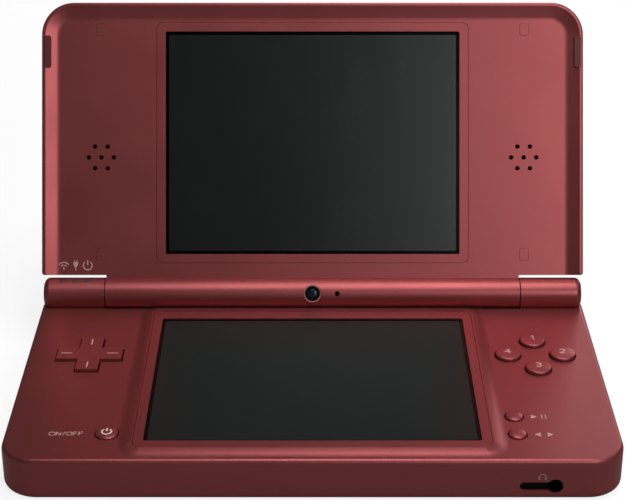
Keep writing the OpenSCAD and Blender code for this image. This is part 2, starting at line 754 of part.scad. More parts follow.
module volume_rocker() color("#5a2429") {
  translate([-half_w - rocker_proud, rocker_y, rocker_z]) rotate([0, 90, 0])
    plate(rocker_w, rocker_len, rocker_w / 2 - 0.1, 0, rocker_t);
  box(-half_w - rocker_proud + rocker_t, -half_w + wall + 1.1, rocker_y - 1.2, rocker_y + 1.2,
      rocker_z - 1.2, rocker_z + 1.2);
}

// ---- face controls ----

module dpad_pivot() color("#8a8d90")
  at_dpad() disc(pivot_r, board_top_z + 0.45, board_top_z + 0.45 + pivot_t);

module dpad() color("#6d3136") at_dpad() {
  difference() {
    cross(dpad_span, dpad_arm, dpad_flange_z + 0.05, face_z + dpad_h);
    for (a = [0:90:270]) rotate(a)
      box(-dpad_line_w / 2, dpad_line_w / 2, dpad_span / 2 - 4.3, dpad_span / 2 - 1.2,
          face_z + dpad_h - 0.15, face_z + dpad_h + cut);
  }
  disc(dpad_flange_r, dpad_flange_z, dpad_flange_z + dpad_flange_t);
  disc(pivot_r, board_top_z + 0.9, dpad_flange_z + dpad_flange_t / 2);
}

// Round key with a domed top and a flange under the face.
module round_key(r, h) {
  rotate_extrude() polygon(concat(
    [[0, flange_z + 0.2], [r, flange_z + 0.2], [r, face_z + h - 0.7]],
    [for (a = [0:15:90]) [r - 0.5 + 0.5 * cos(a), face_z + h - 0.7 + 0.5 * sin(a)]],
    [[r * 0.6, face_z + h - 0.06], [0, face_z + h]]));
  disc(r + flange_w, flange_z, flange_z + flange_t);
}

module button_top() color("#a2565a") at_action(0) round_key(action_r, action_h);
module button_left() color("#a2565a") at_action(1) round_key(action_r, action_h);
module button_right() color("#a2565a") at_action(2) round_key(action_r, action_h);
module button_bottom() color("#a2565a") at_action(3) round_key(action_r, action_h);
module start_button() color("#a2565a") at_start() round_key(small_r, small_h);
module select_button() color("#a2565a") at_select() round_key(small_r, small_h);
module power_button() color("#a2565a") at_power() round_key(power_r, small_h);

// ---- stylus and door ----

module stylus() color("#5a2429")
  translate([half_w, stylus_y, stylus_z]) rotate([0, -90, 0])
    rotate_extrude() polygon([
      [0, 0], [stylus_r, 0], [stylus_r, stylus_len - 6], [1.1, stylus_len - 2.2],
      [0.8, stylus_len - 1.8], [0, stylus_len - 1.7]]);

module card_door() color("#5a2429")
  box(half_w - door_t, half_w, card_y - door_w / 2, card_y + door_w / 2, door_z, door_z + door_h);

// ---- lid ----

module lid_plan(inset, rear)
  plan(half_w - inset, lid_front_y + inset, lid_rear_y - rear, corner_r - inset, lid_corner_r);

module lid_inner_shell() color("#7d3a3f") on_lid() difference() {
  union() {
    difference() {
      slab(half_w, lid_front_y, lid_rear_y, corner_r, lid_corner_r,
           [[0.5, crest_z], [0.15, crest_z + 0.25], [0, crest_z + 0.8], [0, lid_seam_z]]);
      lid_dish();
    }
    box(-barrel_len / 2, barrel_len / 2, lid_rear_y - cut, hinge_y - 2, lid_floor_z,
        lid_seam_z);
    hinge_rod(-barrel_len / 2, barrel_len / 2, barrel_r);
  }
  // room behind the floor plate
  translate([0, 0, lid_floor_z + lid_plate_t]) linear_extrude(inner_wall_h)
    lid_plan(wall + 0.6, wall);
  translate([0, upper_window_mid_y, 0]) {
    plate(window_w + 2 * bezel_w + 2 * seat_gap, window_h + 2 * bezel_w + 2 * seat_gap, 2,
          lid_floor_z - cut, lid_floor_z + bezel_t);
    plate(window_w + 2 * bezel_ledge, window_h + 2 * bezel_ledge, 1,
          lid_floor_z - cut, lid_floor_z + lid_plate_t + cut);
  }
  for (s = [-1, 1]) {
    speaker_holes(s);
    for (y = lid_screw_y) translate([s * cover_pad_x, y, 0]) {
      plate(cover_pad_w, cover_pad_l, 0.5, lid_floor_z - cut, lid_floor_z + cover_pad_t + 0.05);
      disc(screw_r + 0.1, lid_floor_z, lid_floor_z + 3);
    }
    translate([s * bumper_x, bumper_y, 0])
      plate(bumper_w, bumper_len, bumper_r, crest_z - cut, crest_z + bumper_t);
  }
  // barrel: hinge bores, camera, microphone
  hinge_rod(-barrel_len / 2 - cut, -barrel_len / 2 + barrel_bore_len, hinge_bore_r);
  hinge_rod(barrel_len / 2 - barrel_bore_len, barrel_len / 2 + cut, hinge_bore_r);
  translate([0, hinge_y, 0])
    disc(inner_ring_r + 0.05, hinge_z - barrel_r - cut, hinge_z - barrel_r + 2.4);
  translate([mic_x, hinge_y, 0]) disc(mic_r, hinge_z - barrel_r - cut, hinge_z - barrel_r + 3);
}

// Side wall of the outer shell with its rounded top edge.
function lid_edge_profile() = concat([[0, lid_seam_z]],
  [for (a = [0:15:90]) [lid_edge_r * (1 - cos(a)), case_t - lid_edge_r * (1 - sin(a))]]);

// Dish inside the rim, open towards the hinge.
module lid_dish()
  hull() for (s = [-1, 1], y = [lid_front_y + corner_r, lid_rear_y + 20])
    translate([s * (half_w - corner_r), y, 0])
      pad(corner_r, concat([[crest_w - 0.3, crest_z - 0.3]],
        [for (p = dish_steps) [crest_w + p[0] * dish_slope, lid_floor_z - p[1] * dish_h]]));

module speaker_holes(s)
  for (p = [[0, 0], [1, 0], [-1, 0], [0.5, 1], [-0.5, 1], [0.5, -1], [-0.5, -1]])
    translate([s * speaker_x + p[0] * speaker_pitch, speaker_y + p[1] * speaker_pitch * 0.866, 0])
      disc(speaker_hole_r, lid_floor_z - cut, lid_floor_z + lid_plate_t + cut);

module lid_outer_shell() color("#3d0f18") on_lid() difference() {
  union() {
    hull() for (s = [-1, 1]) {
      translate([s * (half_w - corner_r), lid_front_y + corner_r, 0])
        pad(corner_r, lid_edge_profile());
      translate([s * (half_w - lid_edge_r), lid_rear_y - lid_edge_r, 0])
        pad(lid_edge_r, lid_edge_profile());
      translate([s * (half_w - lid_corner_r), lid_rear_y - lid_corner_r, 0])
        pad(lid_corner_r, [[0, lid_seam_z], [0, case_t - lid_edge_r]]);
    }
    translate([-barrel_len / 2, 0, 0]) rotate([90, 0, 90]) linear_extrude(barrel_len)
      polygon([[lid_rear_y - 4, lid_floor_z + lid_plate_t + 1.2], [lid_rear_y - 4, case_t],
               [lid_rear_y - 1.5, case_t], [lid_rear_y + 0.8, case_t - 0.35],
               [hinge_y - 2, case_t - 1.1], [hinge_y + 0.3, hinge_z + barrel_r + 0.1],
               [hinge_y + 0.3, hinge_z + 3], [hinge_y - 2, lid_floor_z + lid_plate_t + 1.2]]);
  }
  translate([0, 0, lid_seam_z - cut]) linear_extrude(case_t - lid_skin - lid_seam_z + cut)
    lid_plan(wall, wall);
  box(-barrel_len / 2 + wall, barrel_len / 2 - wall, lid_rear_y - 6, lid_rear_y + 0.3,
      lid_seam_z - cut, case_t - lid_skin);
  hinge_rod(-barrel_len / 2 - cut, barrel_len / 2 + cut, barrel_r);
  translate([outer_cam_x, outer_cam_y, 0]) disc(outer_ring_r, case_t - 1, case_t + cut);
  translate([light_x, outer_cam_y, 0]) disc(light_r, case_t - lid_skin - cut, case_t + cut);
}

module upper_screen_bezel() color("#7d3a3f") on_lid() translate([0, upper_window_mid_y, 0])
  difference() {
    plate(window_w + 2 * bezel_w, window_h + 2 * bezel_w, 1.9, lid_floor_z, lid_floor_z + bezel_t);
    plate(window_w, window_h, 0.4, lid_floor_z - cut, lid_floor_z + bezel_t + cut);
  }

module upper_window() color("#2b2d2f") on_lid() translate([0, upper_window_mid_y, 0])
  plate(window_w + 2 * bezel_ledge - 2 * seat_gap, window_h + 2 * bezel_ledge - 2 * seat_gap, 0.9,
        lid_floor_z + bezel_t, lid_floor_z + bezel_t + window_t);

module upper_display() color("#1b1c1e") on_lid() translate([0, upper_window_mid_y, 0])
  plate(window_w + 2 * display_border, window_h + 2 * display_border, 0.9,
        lid_floor_z + lid_plate_t, lid_floor_z + lid_plate_t + display_t);

module speakers() color("#2a2a2c") on_lid()
  for (s = [-1, 1]) translate([s * speaker_x, speaker_y, 0]) {
    disc(speaker_r - speaker_lip, lid_floor_z + lid_plate_t,
         lid_floor_z + lid_plate_t + speaker_lip_t);
    disc(speaker_r, lid_floor_z + lid_plate_t + speaker_lip_t,
         lid_floor_z + lid_plate_t + speaker_lip_t + speaker_t);
  }

module screw_covers() color("#7d3a3f") on_lid()
  for (s = [-1, 1], y = lid_screw_y) translate([s * cover_pad_x, y, 0])
    plate(cover_pad_w - seat_gap, cover_pad_l - seat_gap, 0.45, lid_floor_z,
          lid_floor_z + cover_pad_t);

module lid_screws() color("#8d8f92") on_lid()
  for (s = [-1, 1], y = lid_screw_y) translate([s * cover_pad_x, y, 0])
    disc(screw_r, lid_floor_z + cover_pad_t + 0.05, lid_floor_z + lid_plate_t + 2);

module rim_bumpers() color("#6d3136") on_lid()
  for (s = [-1, 1]) translate([s * bumper_x, bumper_y, 0])
    plate(bumper_w - 2 * seat_gap, bumper_len - 2 * seat_gap, bumper_r - seat_gap,
          crest_z - 0.05, crest_z + bumper_t);

module inner_camera_ring() color("#b9a3a0") on_lid() translate([0, hinge_y, 0]) difference() {
  disc(inner_ring_r, hinge_z - barrel_r + 0.45, hinge_z - barrel_r + 2.4);
  disc(inner_ring_r - 0.35, hinge_z - barrel_r - cut, hinge_z - barrel_r + 1.2);
}

module inner_camera_lens() color("#101216") on_lid() translate([0, hinge_y, 0]) {
  disc(inner_ring_r - 0.37, hinge_z - barrel_r + 0.65, hinge_z - barrel_r + 1.2);
  disc(inner_lens_r, hinge_z - barrel_r + 0.5, hinge_z - barrel_r + 0.66);
}

module microphone() color("#2a2a2c") on_lid() translate([mic_x, hinge_y, 0])
  disc(mic_r, hinge_z - barrel_r + 1, hinge_z - barrel_r + 3);

module outer_camera_ring() color("#7a7c80") on_lid() translate([outer_cam_x, outer_cam_y, 0])
  difference() {
    disc(outer_ring_r - seat_gap, case_t - 1, case_t);
    disc(outer_lens_r, case_t - 0.7, case_t + cut);
  }

module outer_camera_lens() color("#101216") on_lid() translate([outer_cam_x, outer_cam_y, 0])
  disc(outer_lens_r - 0.05, case_t - 0.7, case_t - 0.1);

module camera_light() color("#e8d9a0") on_lid() translate([light_x, outer_cam_y, 0])
  disc(light_r - 0.05, case_t - lid_skin, case_t - 0.05);

base_lower_shell();
base_upper_shell();
battery_cover();
battery_cover_screws();
battery();
rubber_feet();
base_screws();
lower_screen_bezel();
touch_panel();
lower_display();
main_board();
board_chips();
board_shield();
wireless_module();
game_card_socket();
memory_card_socket();
headphone_jack();
charging_socket();
stylus_guide();
dpad_membrane();
action_membrane();
small_button_membranes();
status_lights();
hinge_unit();
hinge_bush();
shoulder_pins();
shoulder_switches();
volume_switch();
dpad_pivot();
dpad();
button_top();
button_left();
button_right();
button_bottom();
start_button();
select_button();
power_button();
volume_rocker();
left_shoulder_button();
right_shoulder_button();
stylus();
card_door();
lid_inner_shell();
lid_outer_shell();
upper_screen_bezel();
upper_window();
upper_display();
speakers();
screw_covers();
lid_screws();
rim_bumpers();
inner_camera_ring();
inner_camera_lens();
microphone();
outer_camera_ring();
outer_camera_lens();
camera_light();
hinge_shaft();
flex_cable();
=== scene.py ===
"""Looks of a clamshell handheld game console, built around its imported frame."""

import json
import math

import bpy
from bpy.props import FloatProperty, FloatVectorProperty, PointerProperty
from mathutils import Matrix, Vector
from mathutils.bvhtree import BVHTree


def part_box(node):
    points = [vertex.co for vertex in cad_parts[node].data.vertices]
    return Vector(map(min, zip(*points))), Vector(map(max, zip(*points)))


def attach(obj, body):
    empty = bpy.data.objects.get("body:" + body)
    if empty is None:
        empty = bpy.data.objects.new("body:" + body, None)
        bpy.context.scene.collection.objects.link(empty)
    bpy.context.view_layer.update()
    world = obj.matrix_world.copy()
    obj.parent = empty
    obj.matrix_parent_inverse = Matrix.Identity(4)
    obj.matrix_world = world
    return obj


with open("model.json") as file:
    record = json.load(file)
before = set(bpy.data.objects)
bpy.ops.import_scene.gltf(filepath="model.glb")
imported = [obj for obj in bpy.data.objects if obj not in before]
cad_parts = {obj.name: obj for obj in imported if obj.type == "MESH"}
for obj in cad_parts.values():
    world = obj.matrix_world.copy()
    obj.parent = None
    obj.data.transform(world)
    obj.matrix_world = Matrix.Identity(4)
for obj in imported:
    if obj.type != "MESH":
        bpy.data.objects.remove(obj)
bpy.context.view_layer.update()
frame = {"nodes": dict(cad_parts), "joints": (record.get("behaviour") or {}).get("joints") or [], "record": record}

bl_info = {
    "name": "Clamshell console looks",
    "version": (1, 0, 0),
    "blender": (4, 5, 0),
    "location": "3D View > Sidebar > Console",
    "description": "Finishes, markings and studio of a clamshell handheld game console",
    "category": "Add Mesh",
}

MM = 0.001
# Width of the picture in pixels, and of the camera's sensor in millimetres.
PICTURE_W = 625
SENSOR_W = 36.0
# A distance in metres that reaches past every surface of the console.
FAR = 0.2

# The lid's hinge and its turn from closed to open, from the frame.
LID_FOLD = next(j for j in frame["joints"] if j["name"] == "lid_fold")
HINGE = Vector(LID_FOLD["pos_m"])
LID_TURN = Matrix.Rotation(math.radians(LID_FOLD["range_deg"][0]), 3, "X")

# Edges and normals: what is merged as flat, shaded as smooth, rounded, or taken as part of the barrel.
WELD_WITHIN = 0.001 * MM
FLAT_WITHIN = math.radians(0.4)
SMOOTH_BELOW = math.radians(32)
ROUND_ABOVE = math.radians(34)
EDGE_SEGMENTS = 2
FACE_WEIGHT = 60
BARREL_SKIN = 0.03 * MM
BARREL_FACING = 0.9

# Surface noises: scales in features per metre, and how much of each one shows.
NOISE_LOW, NOISE_HIGH = 0.3, 0.7
DRIFT_SCALE = 38.0
FLECK_SCALE = 2600.0
SMEAR_SCALE = 60.0
SMEAR_STRETCH = (1.0, 0.35, 0.35)
SMEAR_TURN = (0.0, 0.0, 0.6)
DUST_SCALE = 1500.0
FLECK_SHARE = 0.10
DUST_ABOVE = 0.78
DUST_LIFT = 0.012
GRAIN_DEPTH = 0.04 * MM
COAT_ROUGHNESS = 0.03

# Printing and turning: how deep ink and films reach into their surface, and the steps of lines and rings.
INK_SINK = 0.05 * MM
FILM_SINK = 0.02 * MM
STROKE_STEP = 0.4 * MM
RING_STEPS = 64

# Studio, in metres: a round floor with a raised rim, and the point that the lamps aim at.
FLOOR_INNER = 0.5
FLOOR_RADIUS = 3.0
FLOOR_BEND = 0.4
RIM_HEIGHT = 0.5
FLOOR_DROP = 0.05 * MM
LAMP_TARGET = Vector((0.0, 0.0, 0.03))
AMBIENT = 0.05
# Name, place in metres, size in metres and power in watts.
LAMPS = (
    ("top", (0.05, -0.01, 0.6), (0.5, 0.22), 2.2),
    ("overhead", (0.38, -0.02, 0.52), (0.35, 0.35), 0.5),
    ("front_right", (0.42, -0.72, 0.58), (0.35, 0.35), 2.25),
    ("camera_right", (0.30, -0.75, 0.42), (0.3, 0.3), 0.6),
    ("back", (0.45, 0.85, 0.38), (0.5, 0.4), 1.75),
)
# The floor's glow near the console and far out, where each holds, and the share that gloss sees.
GLOW_NEAR, GLOW_FAR = 0.84, 1.0
NEAR_REACH, FAR_REACH = 0.1, 1.1
GLOSS_SHARE = 0.12


def colour_property(name, description, default):
    """A plain colour with three channels."""
    return FloatVectorProperty(
        name=name, description=description, default=default, subtype="COLOR",
        size=3, min=0.0, max=1.0,
    )


def length_property(name, description, default):
    """A length in metres."""
    return FloatProperty(name=name, description=description, default=default, unit="LENGTH")


class ConsoleColours(bpy.types.PropertyGroup):
    """Colours of the finishes."""

    shell: colour_property("Shell", "Satin inner shells", (0.28, 0.06, 0.062))
    lid: colour_property("Lid", "Glossy outer shell of the lid", (0.085, 0.006, 0.016))
    key: colour_property("Keys", "Buttons and D-pad", (0.31, 0.068, 0.07))
    ink: colour_property("Ink", "Printed marks", (0.52, 0.30, 0.28))
    ink_faint: colour_property("Faint ink", "Symbol on the front wall", (0.42, 0.22, 0.22))
    ink_bright: colour_property("Bright ink", "Power symbol on its key", (0.72, 0.56, 0.54))
    screen: colour_property("Window", "Black border of the windows", (0.001, 0.001, 0.001))
    display: colour_property("Display", "Picture area while it is off", (0.004, 0.005, 0.005))
    film: colour_property("Touch film", "Matt picture area of the base", (0.0115, 0.0150, 0.0142))
    rubber: colour_property("Rubber", "Feet", (0.05, 0.006, 0.009))
    bumper: colour_property("Bumpers", "Soft pads on the lid's rim", (0.11, 0.017, 0.021))
    first_light: colour_property("First light", "Left status window while dark", (0.075, 0.03, 0.028))
    second_light: colour_property("Second light", "Middle status window while dark", (0.062, 0.038, 0.024))
    third_light: colour_property("Third light", "Right status window while dark", (0.055, 0.034, 0.038))
    silicone: colour_property("Silicone", "Membranes under the keys", (0.35, 0.35, 0.36))
    steel: colour_property("Steel", "Screws, pins and shields", (0.5, 0.5, 0.51))
    gold: colour_property("Gold", "Spring contacts", (0.75, 0.52, 0.2))
    black: colour_property("Black plastic", "Sockets, switches and chips", (0.01, 0.01, 0.011))
    # Painted shade: near black, darker and duller than the black plastic, for the insides of the jack, speaker and
    # microphone holes and for the camera hoods.
    hollow: colour_property("Hole shade", "Insides of holes", (0.002, 0.002, 0.002))
    board: colour_property("Board", "Circuit boards", (0.02, 0.11, 0.05))
    sleeve: colour_property("Sleeve", "Battery sleeve", (0.03, 0.03, 0.035))
    lens: colour_property("Lens", "Camera lenses", (0.006, 0.012, 0.024))
    camera_light: colour_property("Camera light", "Light beside the outer camera", (0.5, 0.46, 0.36))
    ring: colour_property("Ring", "Rings round the cameras", (0.38, 0.15, 0.15))
    copper: colour_property("Flex", "Flexible circuit in the hinge", (0.32, 0.15, 0.04))
    bush: colour_property("Bush", "Hinge bush", (0.5, 0.49, 0.45))
    floor: colour_property("Floor", "Studio floor", (0.2, 0.2, 0.2))


class ConsoleSizes(bpy.types.PropertyGroup):
    """Sizes that the looks add to the frame."""

    shell_edge: length_property("Shell edge", "Round along the edges of the shells", 0.12 * MM)
    small_edge: length_property("Small edge", "Round along the edges of small pieces", 0.06 * MM)
    barrel_radius: length_property("Barrel radius", "Radius of the hinge barrel and knuckles", 4.7 * MM)
    ink_height: length_property("Ink height", "Thickness of printed marks", 0.02 * MM)
    ink_line: length_property("Ink line", "Width of the lines of the printed symbols", 0.32 * MM)
    label_line: length_property("Label line", "Width of the lines of the face labels", 0.26 * MM)
    label_height: length_property("Label height", "Height of the face labels", 1.6 * MM)
    symbol_height: length_property("Symbol height", "Height of the start and select symbols", 2.0 * MM)
    key_line: length_property("Key line", "Width of the lines on the keys", 0.40 * MM)
    number_height: length_property("Number height", "Height of the numbers on the keys", 2.3 * MM)
    number_lift: length_property("Number lift", "Number above the middle of its key", 0.5 * MM)
    symbol_row: length_property("Symbol row", "From the hinge axis to the lid symbols", 8.3 * MM)
    symbol_inset: length_property("Symbol inset", "Outer lid symbols from the lights' ends", 1.05 * MM)
    lid_symbol: length_property("Lid symbol", "Unit size of the lid symbols", 2.1 * MM)
    lid_power: length_property("Lid power symbol", "Radius of the power symbol on the lid", 1.3 * MM)
    key_power: length_property("Key power symbol", "Radius of the power symbol on its key", 1.25 * MM)
    key_power_line: length_property("Key power line", "Width of its lines", 0.46 * MM)
    dpad_line: length_property("D-pad line", "Width of the lines on the D-pad", 0.42 * MM)
    dpad_line_start: length_property("D-pad line start", "From the end of the arm", 4.3 * MM)
    dpad_line_end: length_property("D-pad line end", "From the end of the arm", 1.2 * MM)
    power_label: length_property("Power label", "Label left of the power key", 10.6 * MM)
    start_label: length_property("Start label", "Symbol right of the start key", 6.6 * MM)
    select_label: length_property("Select label", "Symbol right of the select key", 6.9 * MM)
    jack_symbol: length_property("Jack symbol", "Unit size of the headphone symbol", 1.45 * MM)
    jack_symbol_left: length_property("Jack symbol left", "Symbol left of the jack", 3.4 * MM)
    jack_symbol_up: length_property("Jack symbol up", "Symbol above the jack", 2.8 * MM)
    pane_ledge: length_property("Pane ledge", "Part of a window pane under its bezel", 0.88 * MM)
    black_border: length_property("Black border", "Width of the black border of a window", 1.0 * MM)
    picture_corner: length_property("Picture corner", "Corner radius of a picture area", 0.4 * MM)
    picture_lift: length_property("Picture lift", "Height of a picture area over its pane", 0.03 * MM)
    camera_back: length_property("Camera back", "Camera in front of the hinge axis", 452.26 * MM)
    camera_up: length_property("Camera up", "Camera above the hinge axis", 235.35 * MM)
    focal: FloatProperty(
        name="Focal length", description="Focal length of the camera in picture widths",
        default=1707 / PICTURE_W,
    )
    tilt: FloatProperty(
        name="Camera tilt", description="View direction below the horizontal",
        default=math.radians(26.04), subtype="ANGLE",
    )


# Finishes by name, filled by the first operator.
made = {}


# ---- shader building ----


def set_inputs(node, values):
    """Fixed values on the sockets of a node."""
    for label, value in values.items():
        node.inputs[label].default_value = value


def new_group(name, inputs, outputs):
    """A shader group with those sockets, and its input and output nodes."""
    group = bpy.data.node_groups.new(name, "ShaderNodeTree")
    for label, kind, default in inputs:
        socket = group.interface.new_socket(label, in_out="INPUT", socket_type=kind)
        socket.default_value = default
    for label, kind in outputs:
        group.interface.new_socket(label, in_out="OUTPUT", socket_type=kind)
    first = group.nodes.new("NodeGroupInput")
    last = group.nodes.new("NodeGroupOutput")
    return group, first, last


def noise(tree, scale, detail, roughness, vector):
    """Noise value at a place; the scale is a number or a socket."""
    node = tree.nodes.new("ShaderNodeTexNoise")
    set_inputs(node, {"Detail": detail, "Roughness": roughness})
    if isinstance(scale, (int, float)):
        node.inputs["Scale"].default_value = scale
    else:
        tree.links.new(scale, node.inputs["Scale"])
    tree.links.new(vector, node.inputs["Vector"])
    return node.outputs["Fac"]


def math_node(tree, operation, a, b):
    """Arithmetic on two numbers or sockets."""
    node = tree.nodes.new("ShaderNodeMath")
    node.operation = operation
    for value, socket in ((a, node.inputs[0]), (b, node.inputs[1])):
        if isinstance(value, (int, float)):
            socket.default_value = value
        else:
            tree.links.new(value, socket)
    return node.outputs[0]


def vector_node(tree, operation, a, b=None):
    """Vector arithmetic; LENGTH and DOT_PRODUCT give a plain number."""
    node = tree.nodes.new("ShaderNodeVectorMath")
    node.operation = operation
    for value, socket in ((a, node.inputs[0]), (b, node.inputs[1])):
        if isinstance(value, Vector):
            socket.default_value = value
        elif value is not None:
            tree.links.new(value, socket)
    return node.outputs["Value" if operation in ("LENGTH", "DOT_PRODUCT") else "Vector"]


def map_range(tree, value, low, high):
    """The middle part of a noise, spread between two values."""
    node = tree.nodes.new("ShaderNodeMapRange")
    tree.links.new(value, node.inputs["Value"])
    set_inputs(node, {"From Min": NOISE_LOW, "From Max": NOISE_HIGH})
    for target, socket in ((low, "To Min"), (high, "To Max")):
        if isinstance(target, (int, float)):
            node.inputs[socket].default_value = target
        else:
            tree.links.new(target, node.inputs[socket])
    return node.outputs["Result"]


def moulded_grain():
    """Fine spark-eroded texture of moulded plastic with slow drifts of tone and gloss."""
    group, first, last = new_group(
        "moulded_grain",
        [
            ("Grain Scale", "NodeSocketFloat", 9000.0),
            ("Gloss Low", "NodeSocketFloat", 0.4),
            ("Gloss High", "NodeSocketFloat", 0.5),
            ("Tone", "NodeSocketColor", (0.2, 0.04, 0.05, 1)),
            ("Drift", "NodeSocketFloat", 0.06),
        ],
        [("Colour", "NodeSocketColor"), ("Roughness", "NodeSocketFloat"), ("Height", "NodeSocketFloat")],
    )
    place = group.nodes.new("ShaderNodeTexCoord").outputs["Object"]
    fine = noise(group, first.outputs["Grain Scale"], 2.0, 0.5, place)
    broad = noise(group, DRIFT_SCALE, 3.0, 0.55, place)
    speck = noise(group, FLECK_SCALE, 1.0, 0.5, place)
    rough = map_range(group, broad, first.outputs["Gloss Low"], first.outputs["Gloss High"])
    drift = math_node(group, "MULTIPLY", math_node(group, "SUBTRACT", broad, 0.5), first.outputs["Drift"])
    flecks = math_node(group, "MULTIPLY", math_node(group, "SUBTRACT", speck, 0.5), FLECK_SHARE)
    shade = math_node(group, "ADD", math_node(group, "ADD", drift, flecks), 1.0)
    colour = vector_node(group, "SCALE", first.outputs["Tone"])
    group.links.new(shade, colour.node.inputs["Scale"])
    group.links.new(colour, last.inputs["Colour"])
    group.links.new(rough, last.inputs["Roughness"])
    group.links.new(fine, last.inputs["Height"])
    return group


def hand_marks():
    """Faint smears and dust that break up the gloss of polished faces."""
    group, first, last = new_group(
        "hand_marks",
        [
            ("Polish", "NodeSocketFloat", 0.06),
            ("Smear", "NodeSocketFloat", 0.16),
            ("Tone", "NodeSocketColor", (0.1, 0.01, 0.02, 1)),
        ],
        [("Colour", "NodeSocketColor"), ("Roughness", "NodeSocketFloat")],
    )
    place = group.nodes.new("ShaderNodeTexCoord").outputs["Object"]
    stretch = group.nodes.new("ShaderNodeMapping")
    set_inputs(stretch, {"Scale": SMEAR_STRETCH, "Rotation": SMEAR_TURN})
    group.links.new(place, stretch.inputs["Vector"])
    smear = noise(group, SMEAR_SCALE, 4.0, 0.6, stretch.outputs["Vector"])
    dust = noise(group, DUST_SCALE, 2.0, 0.6, place)
    rough = map_range(group, smear, first.outputs["Polish"], first.outputs["Smear"])
    specks = math_node(group, "MULTIPLY", math_node(group, "GREATER_THAN", dust, DUST_ABOVE), DUST_LIFT)
    group.links.new(vector_node(group, "ADD", first.outputs["Tone"], specks), last.inputs["Colour"])
    group.links.new(rough, last.inputs["Roughness"])
    return group


def principled(name):
    """A new material with its node tree and its shader."""
    material = bpy.data.materials.new(name)
    material.use_nodes = True
    tree = material.node_tree
    return material, tree, tree.nodes["Principled BSDF"]


def surface_look(tree, bsdf, group_name, values):
    """A shared group that drives the colour and roughness of a shader, with its own values."""
    node = tree.nodes.new("ShaderNodeGroup")
    node.node_tree = bpy.data.node_groups[group_name]
    set_inputs(node, values)
    tree.links.new(node.outputs["Colour"], bsdf.inputs["Base Color"])
    tree.links.new(node.outputs["Roughness"], bsdf.inputs["Roughness"])
    return node


def moulded(name, tone, low, high, grain=0.12, scale=9000.0, specular=0.5, drift=0.06, metallic=0.0,
            gleam=(1.0, 1.0, 1.0)):
    """Satin moulded plastic or rubber, its roughness from low to high; metallic and gleam give the pearl
    of the painted shells."""
    material, tree, bsdf = principled(name)
    node = surface_look(tree, bsdf, "moulded_grain", {
        "Grain Scale": scale, "Gloss Low": low, "Gloss High": high,
        "Tone": (*tone, 1.0), "Drift": drift,
    })
    set_inputs(bsdf, {
        "Specular IOR Level": specular, "Specular Tint": (*gleam, 1.0), "Metallic": metallic,
    })
    relief = tree.nodes.new("ShaderNodeBump")
    set_inputs(relief, {"Strength": grain, "Distance": GRAIN_DEPTH})
    tree.links.new(node.outputs["Height"], relief.inputs["Height"])
    tree.links.new(relief.outputs["Normal"], bsdf.inputs["Normal"])
    return material


def polished(name, tone, polish, smear, coat=0.0, metallic=0.0, specular=0.5):
    """Smooth gloss whose roughness goes from polish to smear with faint hand marks."""
    material, tree, bsdf = principled(name)
    surface_look(tree, bsdf, "hand_marks", {"Polish": polish, "Smear": smear, "Tone": (*tone, 1.0)})
    set_inputs(bsdf, {
        "Metallic": metallic, "Specular IOR Level": specular,
        "Coat Weight": coat, "Coat Roughness": COAT_ROUGHNESS,
    })
    return material


def three_lamps(name, tones, edges):
    """Clear plastic of the status lights: each window has its own dim tint, told apart by its place."""
    material, tree, bsdf = principled(name)
    place = tree.nodes.new("ShaderNodeTexCoord").outputs["Object"]
    split = tree.nodes.new("ShaderNodeSeparateXYZ")
    tree.links.new(place, split.inputs[0])
    span = tree.nodes.new("ShaderNodeMapRange")
    tree.links.new(split.outputs["X"], span.inputs["Value"])
    set_inputs(span, {"From Min": edges[0], "From Max": edges[1]})
    ramp = tree.nodes.new("ShaderNodeValToRGB")
    ramp.color_ramp.interpolation = "CONSTANT"
    starts = (0.0, 0.33, 0.66)
    ramp.color_ramp.elements.new(starts[-1])
    for element, start, tone in zip(ramp.color_ramp.elements, starts, tones):
        element.position = start
        element.color = (*tone, 1.0)
    tree.links.new(span.outputs["Result"], ramp.inputs["Fac"])
    node = surface_look(tree, bsdf, "hand_marks", {"Polish": 0.25, "Smear": 0.35})
    tree.links.new(ramp.outputs["Color"], node.inputs["Tone"])
    return material


# Finish of every node that is carried over.
FINISH = {
    "shell": [
        "base_upper_shell", "base_lower_shell", "battery_cover", "lower_screen_bezel",
        "stylus_guide", "lid_inner_shell", "upper_screen_bezel", "screw_covers", "stylus",
        "card_door", "volume_rocker", "left_shoulder_button", "right_shoulder_button",
    ],
    "lid": ["lid_outer_shell"],
    "key": ["dpad", "button_top", "button_left", "button_right", "button_bottom",
            "start_button", "select_button", "power_button"],
    "screen": ["upper_window"],
    "film": ["touch_panel"],
    "display": ["lower_display", "upper_display"],
    "rubber": ["rubber_feet"],
    "bumper": ["rim_bumpers"],
    "silicone": ["dpad_membrane", "action_membrane", "small_button_membranes", "dpad_pivot"],
    "steel": ["battery_cover_screws", "base_screws", "lid_screws", "board_shield",
              "memory_card_socket", "hinge_unit", "hinge_shaft", "shoulder_pins"],
    "black": ["board_chips", "game_card_socket", "charging_socket", "shoulder_switches",
              "volume_switch"],
    # Painted shade: the parts seen inside the jack, speaker and microphone holes take the near-black hole shade.
    "hollow": ["headphone_jack", "speakers", "microphone"],
    "board": ["main_board", "wireless_module"],
    "sleeve": ["battery"],
    "lens": ["inner_camera_lens", "outer_camera_lens"],
    "light": ["camera_light"],
    "lamps": ["status_lights"],
    "ring": ["inner_camera_ring", "outer_camera_ring"],
    "copper": ["flex_cable"],
    "bush": ["hinge_bush"],
}
# Nodes with the wider edge, and those that carry the hinge barrel and its knuckles.
SHELL_NODES = ("base_upper_shell", "base_lower_shell", "lid_inner_shell", "lid_outer_shell")
BARREL_NODES = ("base_upper_shell", "lid_inner_shell")


